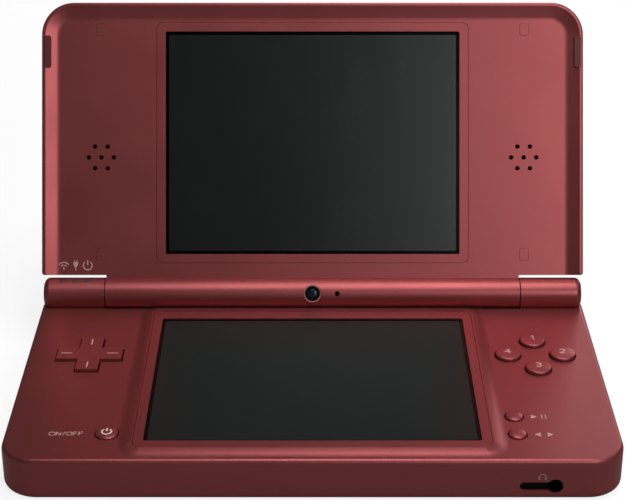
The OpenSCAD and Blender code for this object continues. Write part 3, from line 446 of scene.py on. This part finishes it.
def make_finishes(colours):
    """All finishes by name."""
    moulded_grain()
    hand_marks()
    pearl = {"metallic": 0.72, "gleam": (1.0, 0.8, 0.82)}
    lights_low, lights_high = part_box("status_lights")
    light_tones = (colours.first_light, colours.second_light, colours.third_light)
    return {
        "shell": moulded("shell_satin", colours.shell, 0.36, 0.42, **pearl),
        "lid": polished("lid_gloss", colours.lid, 0.05, 0.1, coat=1.0, specular=0.2),
        "key": moulded("key_satin", colours.key, 0.36, 0.41, grain=0.06, **pearl),
        "screen": polished("window_black", colours.screen, 0.12, 0.18, specular=0.15),
        "film": polished("touch_film", colours.screen, 0.3, 0.36, specular=0.08),
        "picture_film": polished("touch_picture", colours.film, 0.3, 0.36, specular=0.1),
        "display": polished("display_dark", colours.display, 0.25, 0.28),
        "rubber": moulded("rubber_dull", colours.rubber, 0.6, 0.7, grain=0.3, scale=5000.0, specular=0.3),
        "bumper": moulded("bumper_soft", colours.bumper, 0.5, 0.58, grain=0.1, specular=0.3),
        "silicone": moulded("silicone_grey", colours.silicone, 0.55, 0.65, specular=0.35),
        "steel": polished("steel_plain", colours.steel, 0.26, 0.36, metallic=1.0),
        "gold": polished("contact_gold", colours.gold, 0.2, 0.3, metallic=1.0),
        "black": moulded("plastic_black", colours.black, 0.45, 0.55),
        # Painted shade: near black with little gloss, so that the holes render dark.
        "hollow": moulded("hole_shade_black", colours.hollow, 0.7, 0.8, specular=0.08),
        "board": moulded("board_green", colours.board, 0.35, 0.45, drift=0.15),
        "sleeve": moulded("battery_sleeve", colours.sleeve, 0.4, 0.5),
        "lens": polished("lens_glass", colours.lens, 0.16, 0.2, specular=0.3),
        "light": polished("camera_light", colours.camera_light, 0.15, 0.25),
        "lamps": three_lamps("status_lamps", light_tones, (lights_low.x, lights_high.x)),
        "ring": polished("ring_pale", colours.ring, 0.3, 0.4, specular=0.3),
        "copper": moulded("flex_circuit", colours.copper, 0.3, 0.4),
        "bush": moulded("bush_acetal", colours.bush, 0.4, 0.5),
        "ink": moulded("ink_pale", colours.ink, 0.45, 0.55, grain=0.03),
        "ink_faint": moulded("ink_faint", colours.ink_faint, 0.45, 0.55, grain=0.03),
        "ink_bright": moulded("ink_bright", colours.ink_bright, 0.45, 0.55, grain=0.03),
    }


# ---- mesh building ----


def geometry_group(name):
    """An empty geometry group with its input and output nodes."""
    group = bpy.data.node_groups.new(name, "GeometryNodeTree")
    group.interface.new_socket("Geometry", in_out="INPUT", socket_type="NodeSocketGeometry")
    group.interface.new_socket("Geometry", in_out="OUTPUT", socket_type="NodeSocketGeometry")
    return group, group.nodes.new("NodeGroupInput"), group.nodes.new("NodeGroupOutput")


def soft_edges_group():
    """Smooth shading with hard edges above an angle, as a modifier."""
    group, first, last = geometry_group("soft_edges")
    angle = group.nodes.new("GeometryNodeInputMeshEdgeAngle")
    flat = group.nodes.new("FunctionNodeCompare")
    flat.data_type = "FLOAT"
    flat.operation = "LESS_EQUAL"
    flat.inputs["B"].default_value = SMOOTH_BELOW
    faces = group.nodes.new("GeometryNodeSetShadeSmooth")
    edges = group.nodes.new("GeometryNodeSetShadeSmooth")
    edges.domain = "EDGE"
    group.links.new(first.outputs[0], faces.inputs["Geometry"])
    group.links.new(faces.outputs[0], edges.inputs["Geometry"])
    group.links.new(angle.outputs["Unsigned Angle"], flat.inputs["A"])
    group.links.new(flat.outputs["Result"], edges.inputs["Shade Smooth"])
    group.links.new(edges.outputs[0], last.inputs[0])
    return group


def round_barrel_group(radius):
    """True round normals on the hinge barrel and its knuckles, whose surface comes in narrow flats."""
    group, first, last = geometry_group("round_barrel")
    place = group.nodes.new("GeometryNodeInputPosition").outputs[0]
    normal = group.nodes.new("GeometryNodeInputNormal").outputs[0]
    away = vector_node(group, "SUBTRACT", place, HINGE)
    across = vector_node(group, "MULTIPLY", away, Vector((0, 1, 1)))
    outward = vector_node(group, "NORMALIZE", across)
    near = math_node(group, "COMPARE", vector_node(group, "LENGTH", across), radius)
    near.node.inputs[2].default_value = BARREL_SKIN
    cosine = vector_node(group, "DOT_PRODUCT", outward, normal)
    facing = math_node(group, "GREATER_THAN", cosine, BARREL_FACING)
    choose = group.nodes.new("GeometryNodeSwitch")
    choose.input_type = "VECTOR"
    group.links.new(math_node(group, "MULTIPLY", near, facing), choose.inputs["Switch"])
    group.links.new(normal, choose.inputs["False"])
    group.links.new(outward, choose.inputs["True"])
    put = group.nodes.new("GeometryNodeSetMeshNormal")
    put.mode = "FREE"
    put.domain = "CORNER"
    group.links.new(first.outputs[0], put.inputs["Mesh"])
    group.links.new(choose.outputs[0], put.inputs["Custom Normal"])
    group.links.new(put.outputs[0], last.inputs[0])
    return group


def finish_edges(obj, width, soft_edges):
    """Welds, merges flat faces, rounds the edges and evens the normals, all as modifiers."""
    obj.modifiers.new("weld", "WELD").merge_threshold = WELD_WITHIN
    flatten = obj.modifiers.new("flatten", "DECIMATE")
    flatten.decimate_type = "DISSOLVE"
    flatten.angle_limit = FLAT_WITHIN
    bevel = obj.modifiers.new("edge", "BEVEL")
    bevel.width = width
    bevel.segments = EDGE_SEGMENTS
    bevel.limit_method = "ANGLE"
    bevel.angle_limit = ROUND_ABOVE
    bevel.use_clamp_overlap = True
    obj.modifiers.new("smooth", "NODES").node_group = soft_edges
    even = obj.modifiers.new("even", "WEIGHTED_NORMAL")
    even.keep_sharp = True
    even.weight = FACE_WEIGHT


def paint(obj, material):
    """One finish for the whole object."""
    obj.data.materials.clear()
    obj.data.materials.append(material)


def new_piece(name, verts, faces, material, body, slot):
    """A thin piece that only the looks have, moving with its body."""
    mesh = bpy.data.meshes.new(name)
    mesh.from_pydata([tuple(v) for v in verts], [], faces)
    mesh.validate()
    obj = bpy.data.objects.new(name, mesh)
    bpy.context.scene.collection.objects.link(obj)
    paint(obj, material)
    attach(obj, body)
    return obj


# ---- marks ----


def lid_frame(x, y):
    """Origin, right, up and out of a mark on the lid's inner face, as read on the open lid. The place is
    given with the lid closed."""
    origin = HINGE + LID_TURN @ (Vector((x, y, 0.0)) - HINGE)
    return origin, Vector((1, 0, 0)), LID_TURN @ Vector((0, -1, 0)), LID_TURN @ Vector((0, 0, -1))


def face_frame(x, y):
    """The same on a face that looks up."""
    return Vector((x, y, 0.0)), Vector((1, 0, 0)), Vector((0, 1, 0)), Vector((0, 0, 1))


def front_frame(x, z):
    """The same on the front wall."""
    return Vector((x, 0.0, z)), Vector((1, 0, 0)), Vector((0, 0, 1)), Vector((0, -1, 0))


def lid_back_frame(x, y):
    """The same on the lid's outer face."""
    origin, right, up, out = lid_frame(x, y)
    return origin, -right, up, -out


def middle_of(node):
    """Middle of the box of a node."""
    low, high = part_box(node)
    return (low + high) / 2


def closed_middle(node):
    """Middle of a lid node with the lid closed."""
    return HINGE + LID_TURN.transposed() @ (middle_of(node) - HINGE)


def drop(surface, point, out):
    """Where the outermost surface lies under or over a point."""
    hit = surface.ray_cast(point + out * FAR, -out)[0]
    if hit is None:
        raise RuntimeError("a detail misses its surface")
    return hit


def surface_of(node):
    """The faces of a frame node, for finding its surface."""
    mesh = frame["nodes"][node].data
    return BVHTree.FromPolygons([v.co for v in mesh.vertices], [p.vertices for p in mesh.polygons])


def arc(centre, radius, start, end, steps):
    """Points of an arc, angles in degrees, 0 to the right and 90 up."""
    return [
        (centre[0] + radius * math.cos(math.radians(start + (end - start) * i / steps)),
         centre[1] + radius * math.sin(math.radians(start + (end - start) * i / steps)))
        for i in range(steps + 1)
    ]


def refined(points):
    """The same line with more points along its straight runs."""
    line = [Vector(p) for p in points]
    fine = []
    for a, b in zip(line, line[1:]):
        parts = max(1, math.ceil((b - a).length / STROKE_STEP))
        fine += [a.lerp(b, i / parts) for i in range(parts)]
    return fine + [line[-1]]


def rails(points, width):
    """Left and right side of a line of that width, mitred at its corners."""
    runs = [b - a for a, b in zip(points, points[1:])]
    sides = []
    for p, before, after in zip(points, [runs[0], *runs], [*runs, runs[-1]]):
        a, b = before.normalized(), after.normalized()
        across = Vector((-a.y - b.y, a.x + b.x))
        across.normalize()
        reach = width / 2 / max(0.5, across.dot(Vector((-a.y, a.x))))
        sides.append((p + across * reach, p - across * reach))
    return sides


class Ink:
    """Collects printed strokes and lays them on the surface of a node."""

    def __init__(self, node, height, line):
        self.surface = surface_of(node)
        self.height = height
        self.line = line
        self.verts, self.faces = [], []

    def lay(self, place, flat):
        """Top and underside of the ink at a flat place."""
        origin, right, up, out = place
        hit = drop(self.surface, origin + right * flat[0] + up * flat[1], out)
        return hit + out * self.height, hit - out * INK_SINK

    def stroke(self, place, points, size=1.0, line=None):
        """A line of even width along the points."""
        run = refined([Vector(p) * size for p in points])
        first = len(self.verts)
        for sides in rails(run, line or self.line):
            for flat in sides:
                self.verts += self.lay(place, flat)
        end = first + 4 * (len(run) - 1)
        for a in range(first, end, 4):
            b = a + 4
            self.faces += [(a + 2, b + 2, b, a), (a, b, b + 1, a + 1),
                           (a + 3, b + 3, b + 2, a + 2), (a + 1, b + 1, b + 3, a + 3)]
        self.faces += [(first, first + 1, first + 3, first + 2), (end + 2, end + 3, end + 1, end)]

    def fill(self, place, outline, size=1.0):
        """A filled patch with a convex outline, given counter-clockwise."""
        first = len(self.verts)
        for p in outline:
            self.verts += self.lay(place, Vector(p) * size)
        count = len(outline)
        self.faces.append(tuple(first + 2 * i for i in range(count)))
        self.faces.append(tuple(first + 2 * i + 1 for i in reversed(range(count))))
        for i in range(count):
            a, b = first + 2 * i, first + 2 * ((i + 1) % count)
            self.faces.append((a, a + 1, b + 1, b))

    def piece(self, name, material, body):
        """All strokes so far as one piece."""
        new_piece(name, self.verts, self.faces, material, body, "ring")


# Plain numbers and switch words as strokes in a box one unit high.
GLYPHS = {
    "1": [[(0.1, 0.78), (0.36, 1.0), (0.36, 0.0)]],
    "2": [[(0.03, 0.72), (0.12, 0.93), (0.33, 1.0), (0.55, 0.92), (0.62, 0.72), (0.5, 0.48),
           (0.0, 0.0), (0.66, 0.0)]],
    "3": [[(0.04, 0.88), (0.3, 1.0), (0.56, 0.9), (0.6, 0.7), (0.3, 0.53), (0.62, 0.36),
           (0.6, 0.12), (0.32, 0.0), (0.03, 0.12)]],
    "4": [[(0.5, 0.0), (0.5, 1.0), (0.0, 0.28), (0.7, 0.28)]],
    "O": [arc((0.4, 0.5), 0.5, -90, 270, 20)],
    "N": [[(0.0, 0.0), (0.0, 1.0), (0.68, 0.0), (0.68, 1.0)]],
    "F": [[(0.58, 1.0), (0.0, 1.0), (0.0, 0.0)], [(0.0, 0.52), (0.48, 0.52)]],
    "/": [[(0.0, -0.1), (0.42, 1.1)]],
}
GLYPH_WIDTH = {"1": 0.45, "2": 0.66, "3": 0.62, "4": 0.7, "O": 0.8, "N": 0.68, "F": 0.58, "/": 0.42}


def write(ink, place, text, height, gap=0.3):
    """Generic characters, centred on the place."""
    total = sum(GLYPH_WIDTH[c] for c in text) + gap * (len(text) - 1)
    x = -total / 2
    for c in text:
        for points in GLYPHS[c]:
            ink.stroke(place, [(x + px, py - 0.5) for px, py in points], height)
        x += GLYPH_WIDTH[c] + gap


def power_mark(ink, place, radius):
    """Open ring with a bar through the gap."""
    ink.stroke(place, arc((0, 0), radius, 125, 415, 24))
    ink.stroke(place, [(0, radius * 0.15), (0, radius * 1.2)])


def radio_mark(ink, place, size):
    """Dot with two arcs above it."""
    foot = (0, -0.45)
    ink.fill(place, arc(foot, 0.14, 0, 324, 9), size)
    for radius in (0.5, 0.9):
        ink.stroke(place, arc(foot, radius, 40, 140, 10), size)


def plug_mark(ink, place, size):
    """Mains plug: two pins, a round-shouldered body and its lead."""
    body = [(-0.12, -0.22), (0.12, -0.22), (0.34, 0.12), (0.34, 0.5), (-0.34, 0.5), (-0.34, 0.12)]
    ink.fill(place, body, size)
    for x in (-0.18, 0.18):
        ink.stroke(place, [(x, 0.48), (x, 0.78)], size, line=0.2 * MM)
    ink.stroke(place, [(0, -0.2), (0, -0.72)], size, line=0.26 * MM)


def headphone_mark(ink, place, size):
    """Head band with two ear pads."""
    ink.stroke(place, arc((0, -0.05), 0.62, 0, 180, 14), size, line=0.22 * MM)
    for x in (-0.56, 0.56):
        ink.stroke(place, [(x, -0.05), (x, -0.6)], size, line=0.42 * MM)


def pointer(shift):
    """Outline of a triangle that points to the right, one unit high."""
    return [(shift, -0.5), (shift + 0.8, 0.0), (shift, 0.5)]


# ---- small detail ----


def rounded_outline(w, d, r):
    """Counter-clockwise outline of a rounded oblong about the origin."""
    corners = ((w / 2 - r, -d / 2 + r, -90), (w / 2 - r, d / 2 - r, 0),
               (-w / 2 + r, d / 2 - r, 90), (-w / 2 + r, -d / 2 + r, 180))
    return [p for x, y, a in corners for p in arc((x, y), r, a, a + 90, 6)]


def slab_mesh(outline, place, low, high):
    """A flat slab of that outline between two heights above the place."""
    origin, right, up, out = place
    count = len(outline)
    verts = [origin + right * x + up * y + out * h for h in (low, high) for x, y in outline]
    faces = [tuple(reversed(range(count))), tuple(range(count, 2 * count))]
    faces += [(i, (i + 1) % count, count + (i + 1) % count, count + i) for i in range(count)]
    return verts, faces


def lathe(profile, place):
    """A profile of radii and heights turned about the out direction of a place, closed by two caps."""
    origin, right, up, out = place
    verts, faces = [], []
    for r, h in profile:
        for i in range(RING_STEPS):
            a = 2 * math.pi * i / RING_STEPS
            verts.append(origin + right * (r * math.cos(a)) + up * (r * math.sin(a)) + out * h)
    for low in range(0, len(verts) - RING_STEPS, RING_STEPS):
        high = low + RING_STEPS
        for i in range(RING_STEPS):
            j = (i + 1) % RING_STEPS
            faces.append((low + i, low + j, high + j, high + i))
    faces.append(tuple(reversed(range(RING_STEPS))))
    faces.append(tuple(range(len(verts) - RING_STEPS, len(verts))))
    return verts, faces


def open_lathe(profile, place):
    """A turned ring: the profile closes on itself, without caps."""
    verts, faces = lathe(profile, place)
    last = len(verts) - RING_STEPS
    turn = [(i, (i + 1) % RING_STEPS) for i in range(RING_STEPS)]
    return verts, faces[:-2] + [(last + i, last + j, j, i) for i, j in turn]


def smooth(obj, angle):
    """Smooth shading with hard edges above an angle in degrees."""
    obj.data.polygons.foreach_set("use_smooth", [True] * len(obj.data.polygons))
    obj.data.set_sharp_from_angle(angle=math.radians(angle))


def on_top(place, node):
    """The place moved along its out direction to the surface of a node."""
    origin, right, up, out = place
    return drop(surface_of(node), origin, out), right, up, out


def camera_eye(name, place, node):
    """Stepped black hood with a small bulging lens in its middle, on a camera's window."""
    seat = on_top(place, node)
    low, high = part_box(node)
    radius = (high.x - low.x) / 2
    # Shares of the window's radius, and heights in millimetres.
    steps = ((0.96, -0.02), (0.96, 0.03), (0.9, 0.06), (0.74, 0.06),
             (0.70, 0.02), (0.62, 0.02), (0.6, -0.02))
    hood = [(radius * share, height * MM) for share, height in steps]
    # The hood takes the near-black painted shade of the holes.
    ring = new_piece(name + "_hood", *open_lathe(hood, seat), made["hollow"], "lid", "black_plastic")
    lens_r = radius * 0.58
    dome = [(lens_r, -0.02 * MM)]
    for angle in range(0, 90, 10):
        a = math.radians(angle)
        dome.append((lens_r * math.cos(a), 0.01 * MM + lens_r * 0.14 * math.sin(a)))
    lens = new_piece(name + "_glass", *lathe(dome, seat), made["lens"], "lid", "lens")
    for obj in (ring, lens):
        smooth(obj, 50)


# ---- studio ----


def floor_glow(tree):
    """How far the floor is lifted to white where the camera, glass or gloss looks at it: more where less
    lamp light falls, so that it stays even and keeps the shadow."""
    path = tree.nodes.new("ShaderNodeLightPath")
    place = tree.nodes.new("ShaderNodeTexCoord").outputs["Object"]
    lift = tree.nodes.new("ShaderNodeMapRange")
    lift.interpolation_type = "SMOOTHSTEP"
    tree.links.new(vector_node(tree, "LENGTH", place), lift.inputs["Value"])
    set_inputs(lift, {
        "From Min": NEAR_REACH, "From Max": FAR_REACH, "To Min": GLOW_NEAR, "To Max": GLOW_FAR,
    })
    clear = math_node(tree, "MAXIMUM", path.outputs["Is Camera Ray"], path.outputs["Is Transmission Ray"])
    seen = math_node(tree, "MULTIPLY", clear, lift.outputs["Result"])
    gloss = math_node(tree, "MULTIPLY", path.outputs["Is Glossy Ray"], GLOSS_SHARE)
    return math_node(tree, "MAXIMUM", seen, gloss)


# ---- operators ----


class CONSOLE_OT_finishes(bpy.types.Operator):
    """Paint the carried-over pieces and round their edges"""

    bl_idname = "console.finishes"
    bl_label = "Finish the frame pieces"

    def execute(self, context):
        sizes = context.scene.console_sizes
        made.update(make_finishes(context.scene.console_colours))
        soft_edges = soft_edges_group()
        for name, nodes in FINISH.items():
            for node in nodes:
                obj = frame["nodes"][node]
                paint(obj, made[name])
                width = sizes.shell_edge if node in SHELL_NODES else sizes.small_edge
                finish_edges(obj, width, soft_edges)
        round_barrel = round_barrel_group(sizes.barrel_radius)
        for node in BARREL_NODES:
            frame["nodes"][node].modifiers.new("round", "NODES").node_group = round_barrel
        return {"FINISHED"}


class CONSOLE_OT_screens(bpy.types.Operator):
    """Lay the picture areas on the black window panes"""

    bl_idname = "console.screens"
    bl_label = "Picture areas"

    def execute(self, context):
        sizes = context.scene.console_sizes
        low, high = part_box("touch_panel")
        margin = 2 * (sizes.pane_ledge + sizes.black_border)
        outline = rounded_outline(high.x - low.x - margin, high.y - low.y - margin,
                                  sizes.picture_corner)
        lower, upper = middle_of("touch_panel"), closed_middle("upper_window")
        for name, place, node, body, finish in (
            ("lower_picture", face_frame(lower.x, lower.y), "touch_panel", "base", "picture_film"),
            ("upper_picture", lid_frame(upper.x, upper.y), "upper_window", "lid", "display"),
        ):
            mesh = slab_mesh(outline, on_top(place, node), -FILM_SINK, sizes.picture_lift)
            new_piece(name, *mesh, made[finish], body, "display")
        return {"FINISHED"}


class CONSOLE_OT_lid_marks(bpy.types.Operator):
    """Print the three status symbols beside the left knuckle"""

    bl_idname = "console.lid_marks"
    bl_label = "Lid symbols"

    def execute(self, context):
        sizes = context.scene.console_sizes
        ink = Ink("lid_inner_shell", sizes.ink_height, sizes.ink_line)
        low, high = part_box("status_lights")
        y = HINGE.y - sizes.symbol_row
        pitch = (high.x - low.x) / 2 - sizes.symbol_inset
        middle = (low.x + high.x) / 2
        radio_mark(ink, lid_frame(middle - pitch, y), sizes.lid_symbol)
        plug_mark(ink, lid_frame(middle, y), sizes.lid_symbol)
        power_mark(ink, lid_frame(middle + pitch, y), sizes.lid_power)
        ink.piece("lid_symbols", made["ink"], "lid")
        return {"FINISHED"}


class CONSOLE_OT_face_marks(bpy.types.Operator):
    """Print the generic labels beside the small keys and above the jack"""

    bl_idname = "console.face_marks"
    bl_label = "Face labels"

    def execute(self, context):
        sizes = context.scene.console_sizes
        ink = Ink("base_upper_shell", sizes.ink_height, sizes.label_line)
        power, start, select = (middle_of(n) for n in ("power_button", "start_button", "select_button"))
        write(ink, face_frame(power.x - sizes.power_label, power.y), "ON/OFF", sizes.label_height)
        size = sizes.symbol_height
        place = face_frame(start.x + sizes.start_label, start.y)
        ink.fill(place, pointer(-1.1), size)
        for x in (0.35, 0.85):
            ink.stroke(place, [(x, -0.5), (x, 0.5)], size)
        place = face_frame(select.x + sizes.select_label, select.y)
        ink.fill(place, [(-x, -y) for x, y in pointer(0.45)], size)
        ink.fill(place, pointer(0.45), size)
        ink.piece("face_labels", made["ink"], "base")
        wall = Ink("base_upper_shell", sizes.ink_height, sizes.ink_line)
        jack = next(m for m in frame["record"]["mounts"] if m["name"] == "headphone_jack")["pos_m"]
        place = front_frame(jack[0] - sizes.jack_symbol_left, jack[2] + sizes.jack_symbol_up)
        headphone_mark(wall, place, sizes.jack_symbol)
        wall.piece("headphone_symbol", made["ink_faint"], "base")
        return {"FINISHED"}


class CONSOLE_OT_key_marks(bpy.types.Operator):
    """Print the lines, numbers and power symbol on the keys"""

    bl_idname = "console.key_marks"
    bl_label = "Key marks"

    def execute(self, context):
        sizes = context.scene.console_sizes
        low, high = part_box("dpad")
        middle, reach = middle_of("dpad"), (high.x - low.x) / 2
        ink = Ink("dpad", sizes.ink_height, sizes.dpad_line)
        for turn in range(4):
            way = Vector((math.cos(turn * math.pi / 2), math.sin(turn * math.pi / 2)))
            ends = [way * (reach - sizes.dpad_line_start), way * (reach - sizes.dpad_line_end)]
            ink.stroke(face_frame(middle.x, middle.y), ends)
        ink.piece("dpad_lines", made["ink"], "dpad")
        for number, key in enumerate(("button_top", "button_right", "button_bottom", "button_left"), 1):
            spot = middle_of(key)
            ink = Ink(key, sizes.ink_height, sizes.key_line)
            write(ink, face_frame(spot.x, spot.y + sizes.number_lift), str(number), sizes.number_height)
            ink.piece(f"number_{number}", made["ink"], key)
        spot = middle_of("power_button")
        ink = Ink("power_button", sizes.ink_height, sizes.key_power_line)
        power_mark(ink, face_frame(spot.x, spot.y), sizes.key_power)
        ink.piece("power_symbol", made["ink_bright"], "power_button")
        return {"FINISHED"}


class CONSOLE_OT_cameras(bpy.types.Operator):
    """Add the hoods and lenses of the two cameras"""

    bl_idname = "console.cameras"
    bl_label = "Camera eyes"

    def execute(self, context):
        inner, outer = closed_middle("inner_camera_lens"), closed_middle("outer_camera_lens")
        camera_eye("inner_camera", lid_frame(0.0, inner.y), "inner_camera_lens")
        camera_eye("outer_camera", lid_back_frame(outer.x, outer.y), "outer_camera_lens")
        return {"FINISHED"}


class CONSOLE_OT_contacts(bpy.types.Operator):
    """Add the spring contacts inside the card slot and the charging socket"""

    bl_idname = "console.contacts"
    bl_label = "Contacts"

    def execute(self, context):
        self.leaves("card_contacts", "game_card_socket", 17, pitch=1.8 * MM, width=0.9 * MM,
                    inset=2.2 * MM, length=9 * MM, height=0.62 * MM, rise=0.5 * MM)
        self.leaves("charger_contacts", "charging_socket", 5, pitch=1.1 * MM, width=0.6 * MM,
                    inset=1.4 * MM, length=5.5 * MM, height=1.15 * MM, rise=0.25 * MM)
        return {"FINISHED"}

    def leaves(self, name, socket, count, pitch, width, inset, length, height, rise):
        """A row of bowed leaf springs on the floor of a socket, from its front end backwards."""
        low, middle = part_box(socket)[0], middle_of(socket)
        verts, faces = [], []
        steps = 8
        for k in range(count):
            x = middle.x + (k - (count - 1) / 2) * pitch
            first = len(verts)
            for i in range(steps + 1):
                y = low.y + inset + i / steps * length
                z = low.z + height + rise * math.sin(math.pi * i / steps) ** 2
                for dx in (-width / 2, width / 2):
                    for dz in (-0.05 * MM, 0.12 * MM):
                        verts.append((x + dx, y, z + dz))
            last = first + 4 * steps
            for a in range(first, last, 4):
                b = a + 4
                faces += [(a, b, b + 2, a + 2), (a + 1, a + 3, b + 3, b + 1),
                          (a, a + 1, b + 1, b), (a + 2, b + 2, b + 3, a + 3)]
            faces += [(first, first + 2, first + 3, first + 1), (last, last + 1, last + 3, last + 2)]
        smooth(new_piece(name, verts, faces, made["gold"], "base", "steel"), 40)


class CONSOLE_OT_stage(bpy.types.Operator):
    """Add the floor, the lamps and the camera"""

    bl_idname = "console.stage"
    bl_label = "Studio and camera"

    def execute(self, context):
        scene = context.scene
        scene.view_settings.view_transform = "Standard"
        self.camera(scene)
        self.floor(scene)
        self.lamps(scene)
        self.world(scene)
        return {"FINISHED"}

    def camera(self, scene):
        """The camera at the place found from the photo."""
        sizes = scene.console_sizes
        camera = bpy.data.cameras.new("camera")
        camera.sensor_width = SENSOR_W
        camera.lens = sizes.focal * SENSOR_W
        camera.clip_start = 0.01
        eye = bpy.data.objects.new("camera", camera)
        eye.location = HINGE + Vector((0.0, -sizes.camera_back, sizes.camera_up))
        eye.rotation_euler = (math.pi / 2 - sizes.tilt, 0.0, 0.0)
        scene.collection.objects.link(eye)
        scene.camera = eye

    def floor(self, scene):
        """A wide round floor that turns up into a low wall, just under the feet of the console."""
        bend = arc((FLOOR_RADIUS - FLOOR_BEND, FLOOR_BEND), FLOOR_BEND, -90, 0, 6)
        profile = [(FLOOR_INNER, 0.0), *bend, (FLOOR_RADIUS, RIM_HEIGHT)]
        verts, faces = lathe(profile, face_frame(0.0, 0.0))
        mesh = bpy.data.meshes.new("floor")
        # The last face would be a lid over the whole studio.
        mesh.from_pydata([tuple(v) for v in verts], [], faces[:-1])
        floor = bpy.data.objects.new("floor", mesh)
        floor.location.z = -FLOOR_DROP
        scene.collection.objects.link(floor)
        material, tree, bsdf = principled("studio_floor")
        colour = (*scene.console_colours.floor, 1.0)
        set_inputs(bsdf, {"Base Color": colour, "Roughness": 0.9, "Specular IOR Level": 0.1})
        glow = tree.nodes.new("ShaderNodeEmission")
        both = tree.nodes.new("ShaderNodeAddShader")
        tree.links.new(floor_glow(tree), glow.inputs["Strength"])
        tree.links.new(bsdf.outputs[0], both.inputs[0])
        tree.links.new(glow.outputs[0], both.inputs[1])
        tree.links.new(both.outputs[0], tree.nodes["Material Output"].inputs["Surface"])
        floor.data.materials.append(material)

    def lamps(self, scene):
        """Area lamps that all aim at the console."""
        for name, place, size, power in LAMPS:
            data = bpy.data.lights.new(name, "AREA")
            data.shape = "RECTANGLE"
            data.size, data.size_y = size
            data.energy = power
            lamp = bpy.data.objects.new(name, data)
            lamp.location = place
            lamp.rotation_euler = (LAMP_TARGET - Vector(place)).to_track_quat("-Z", "Y").to_euler()
            scene.collection.objects.link(lamp)

    def world(self, scene):
        """Faint even light from all round."""
        world = bpy.data.worlds.new("studio")
        scene.world = world
        world.use_nodes = True
        background = world.node_tree.nodes["Background"]
        set_inputs(background, {"Color": (1.0, 1.0, 1.0, 1.0), "Strength": AMBIENT})


class CONSOLE_PT_panel(bpy.types.Panel):
    """One button for each step"""

    bl_label = "Clamshell console"
    bl_space_type = "VIEW_3D"
    bl_region_type = "UI"
    bl_category = "Console"

    def draw(self, context):
        for cls in OPERATORS:
            self.layout.operator(cls.bl_idname)


OPERATORS = (
    CONSOLE_OT_finishes, CONSOLE_OT_screens, CONSOLE_OT_lid_marks, CONSOLE_OT_face_marks,
    CONSOLE_OT_key_marks, CONSOLE_OT_cameras, CONSOLE_OT_contacts, CONSOLE_OT_stage,
)
CLASSES = (ConsoleColours, ConsoleSizes, *OPERATORS, CONSOLE_PT_panel)


def register():
    """Adds the classes and their settings."""
    for cls in CLASSES:
        bpy.utils.register_class(cls)
    bpy.types.Scene.console_colours = PointerProperty(type=ConsoleColours)
    bpy.types.Scene.console_sizes = PointerProperty(type=ConsoleSizes)


def unregister():
    """Takes them away."""
    del bpy.types.Scene.console_sizes
    del bpy.types.Scene.console_colours
    for cls in reversed(CLASSES):
        bpy.utils.unregister_class(cls)


def main():
    """Runs every step in order."""
    register()
    for cls in OPERATORS:
        group, name = cls.bl_idname.split(".")
        getattr(getattr(bpy.ops, group), name)()


if __name__ == "__main__":
    main()
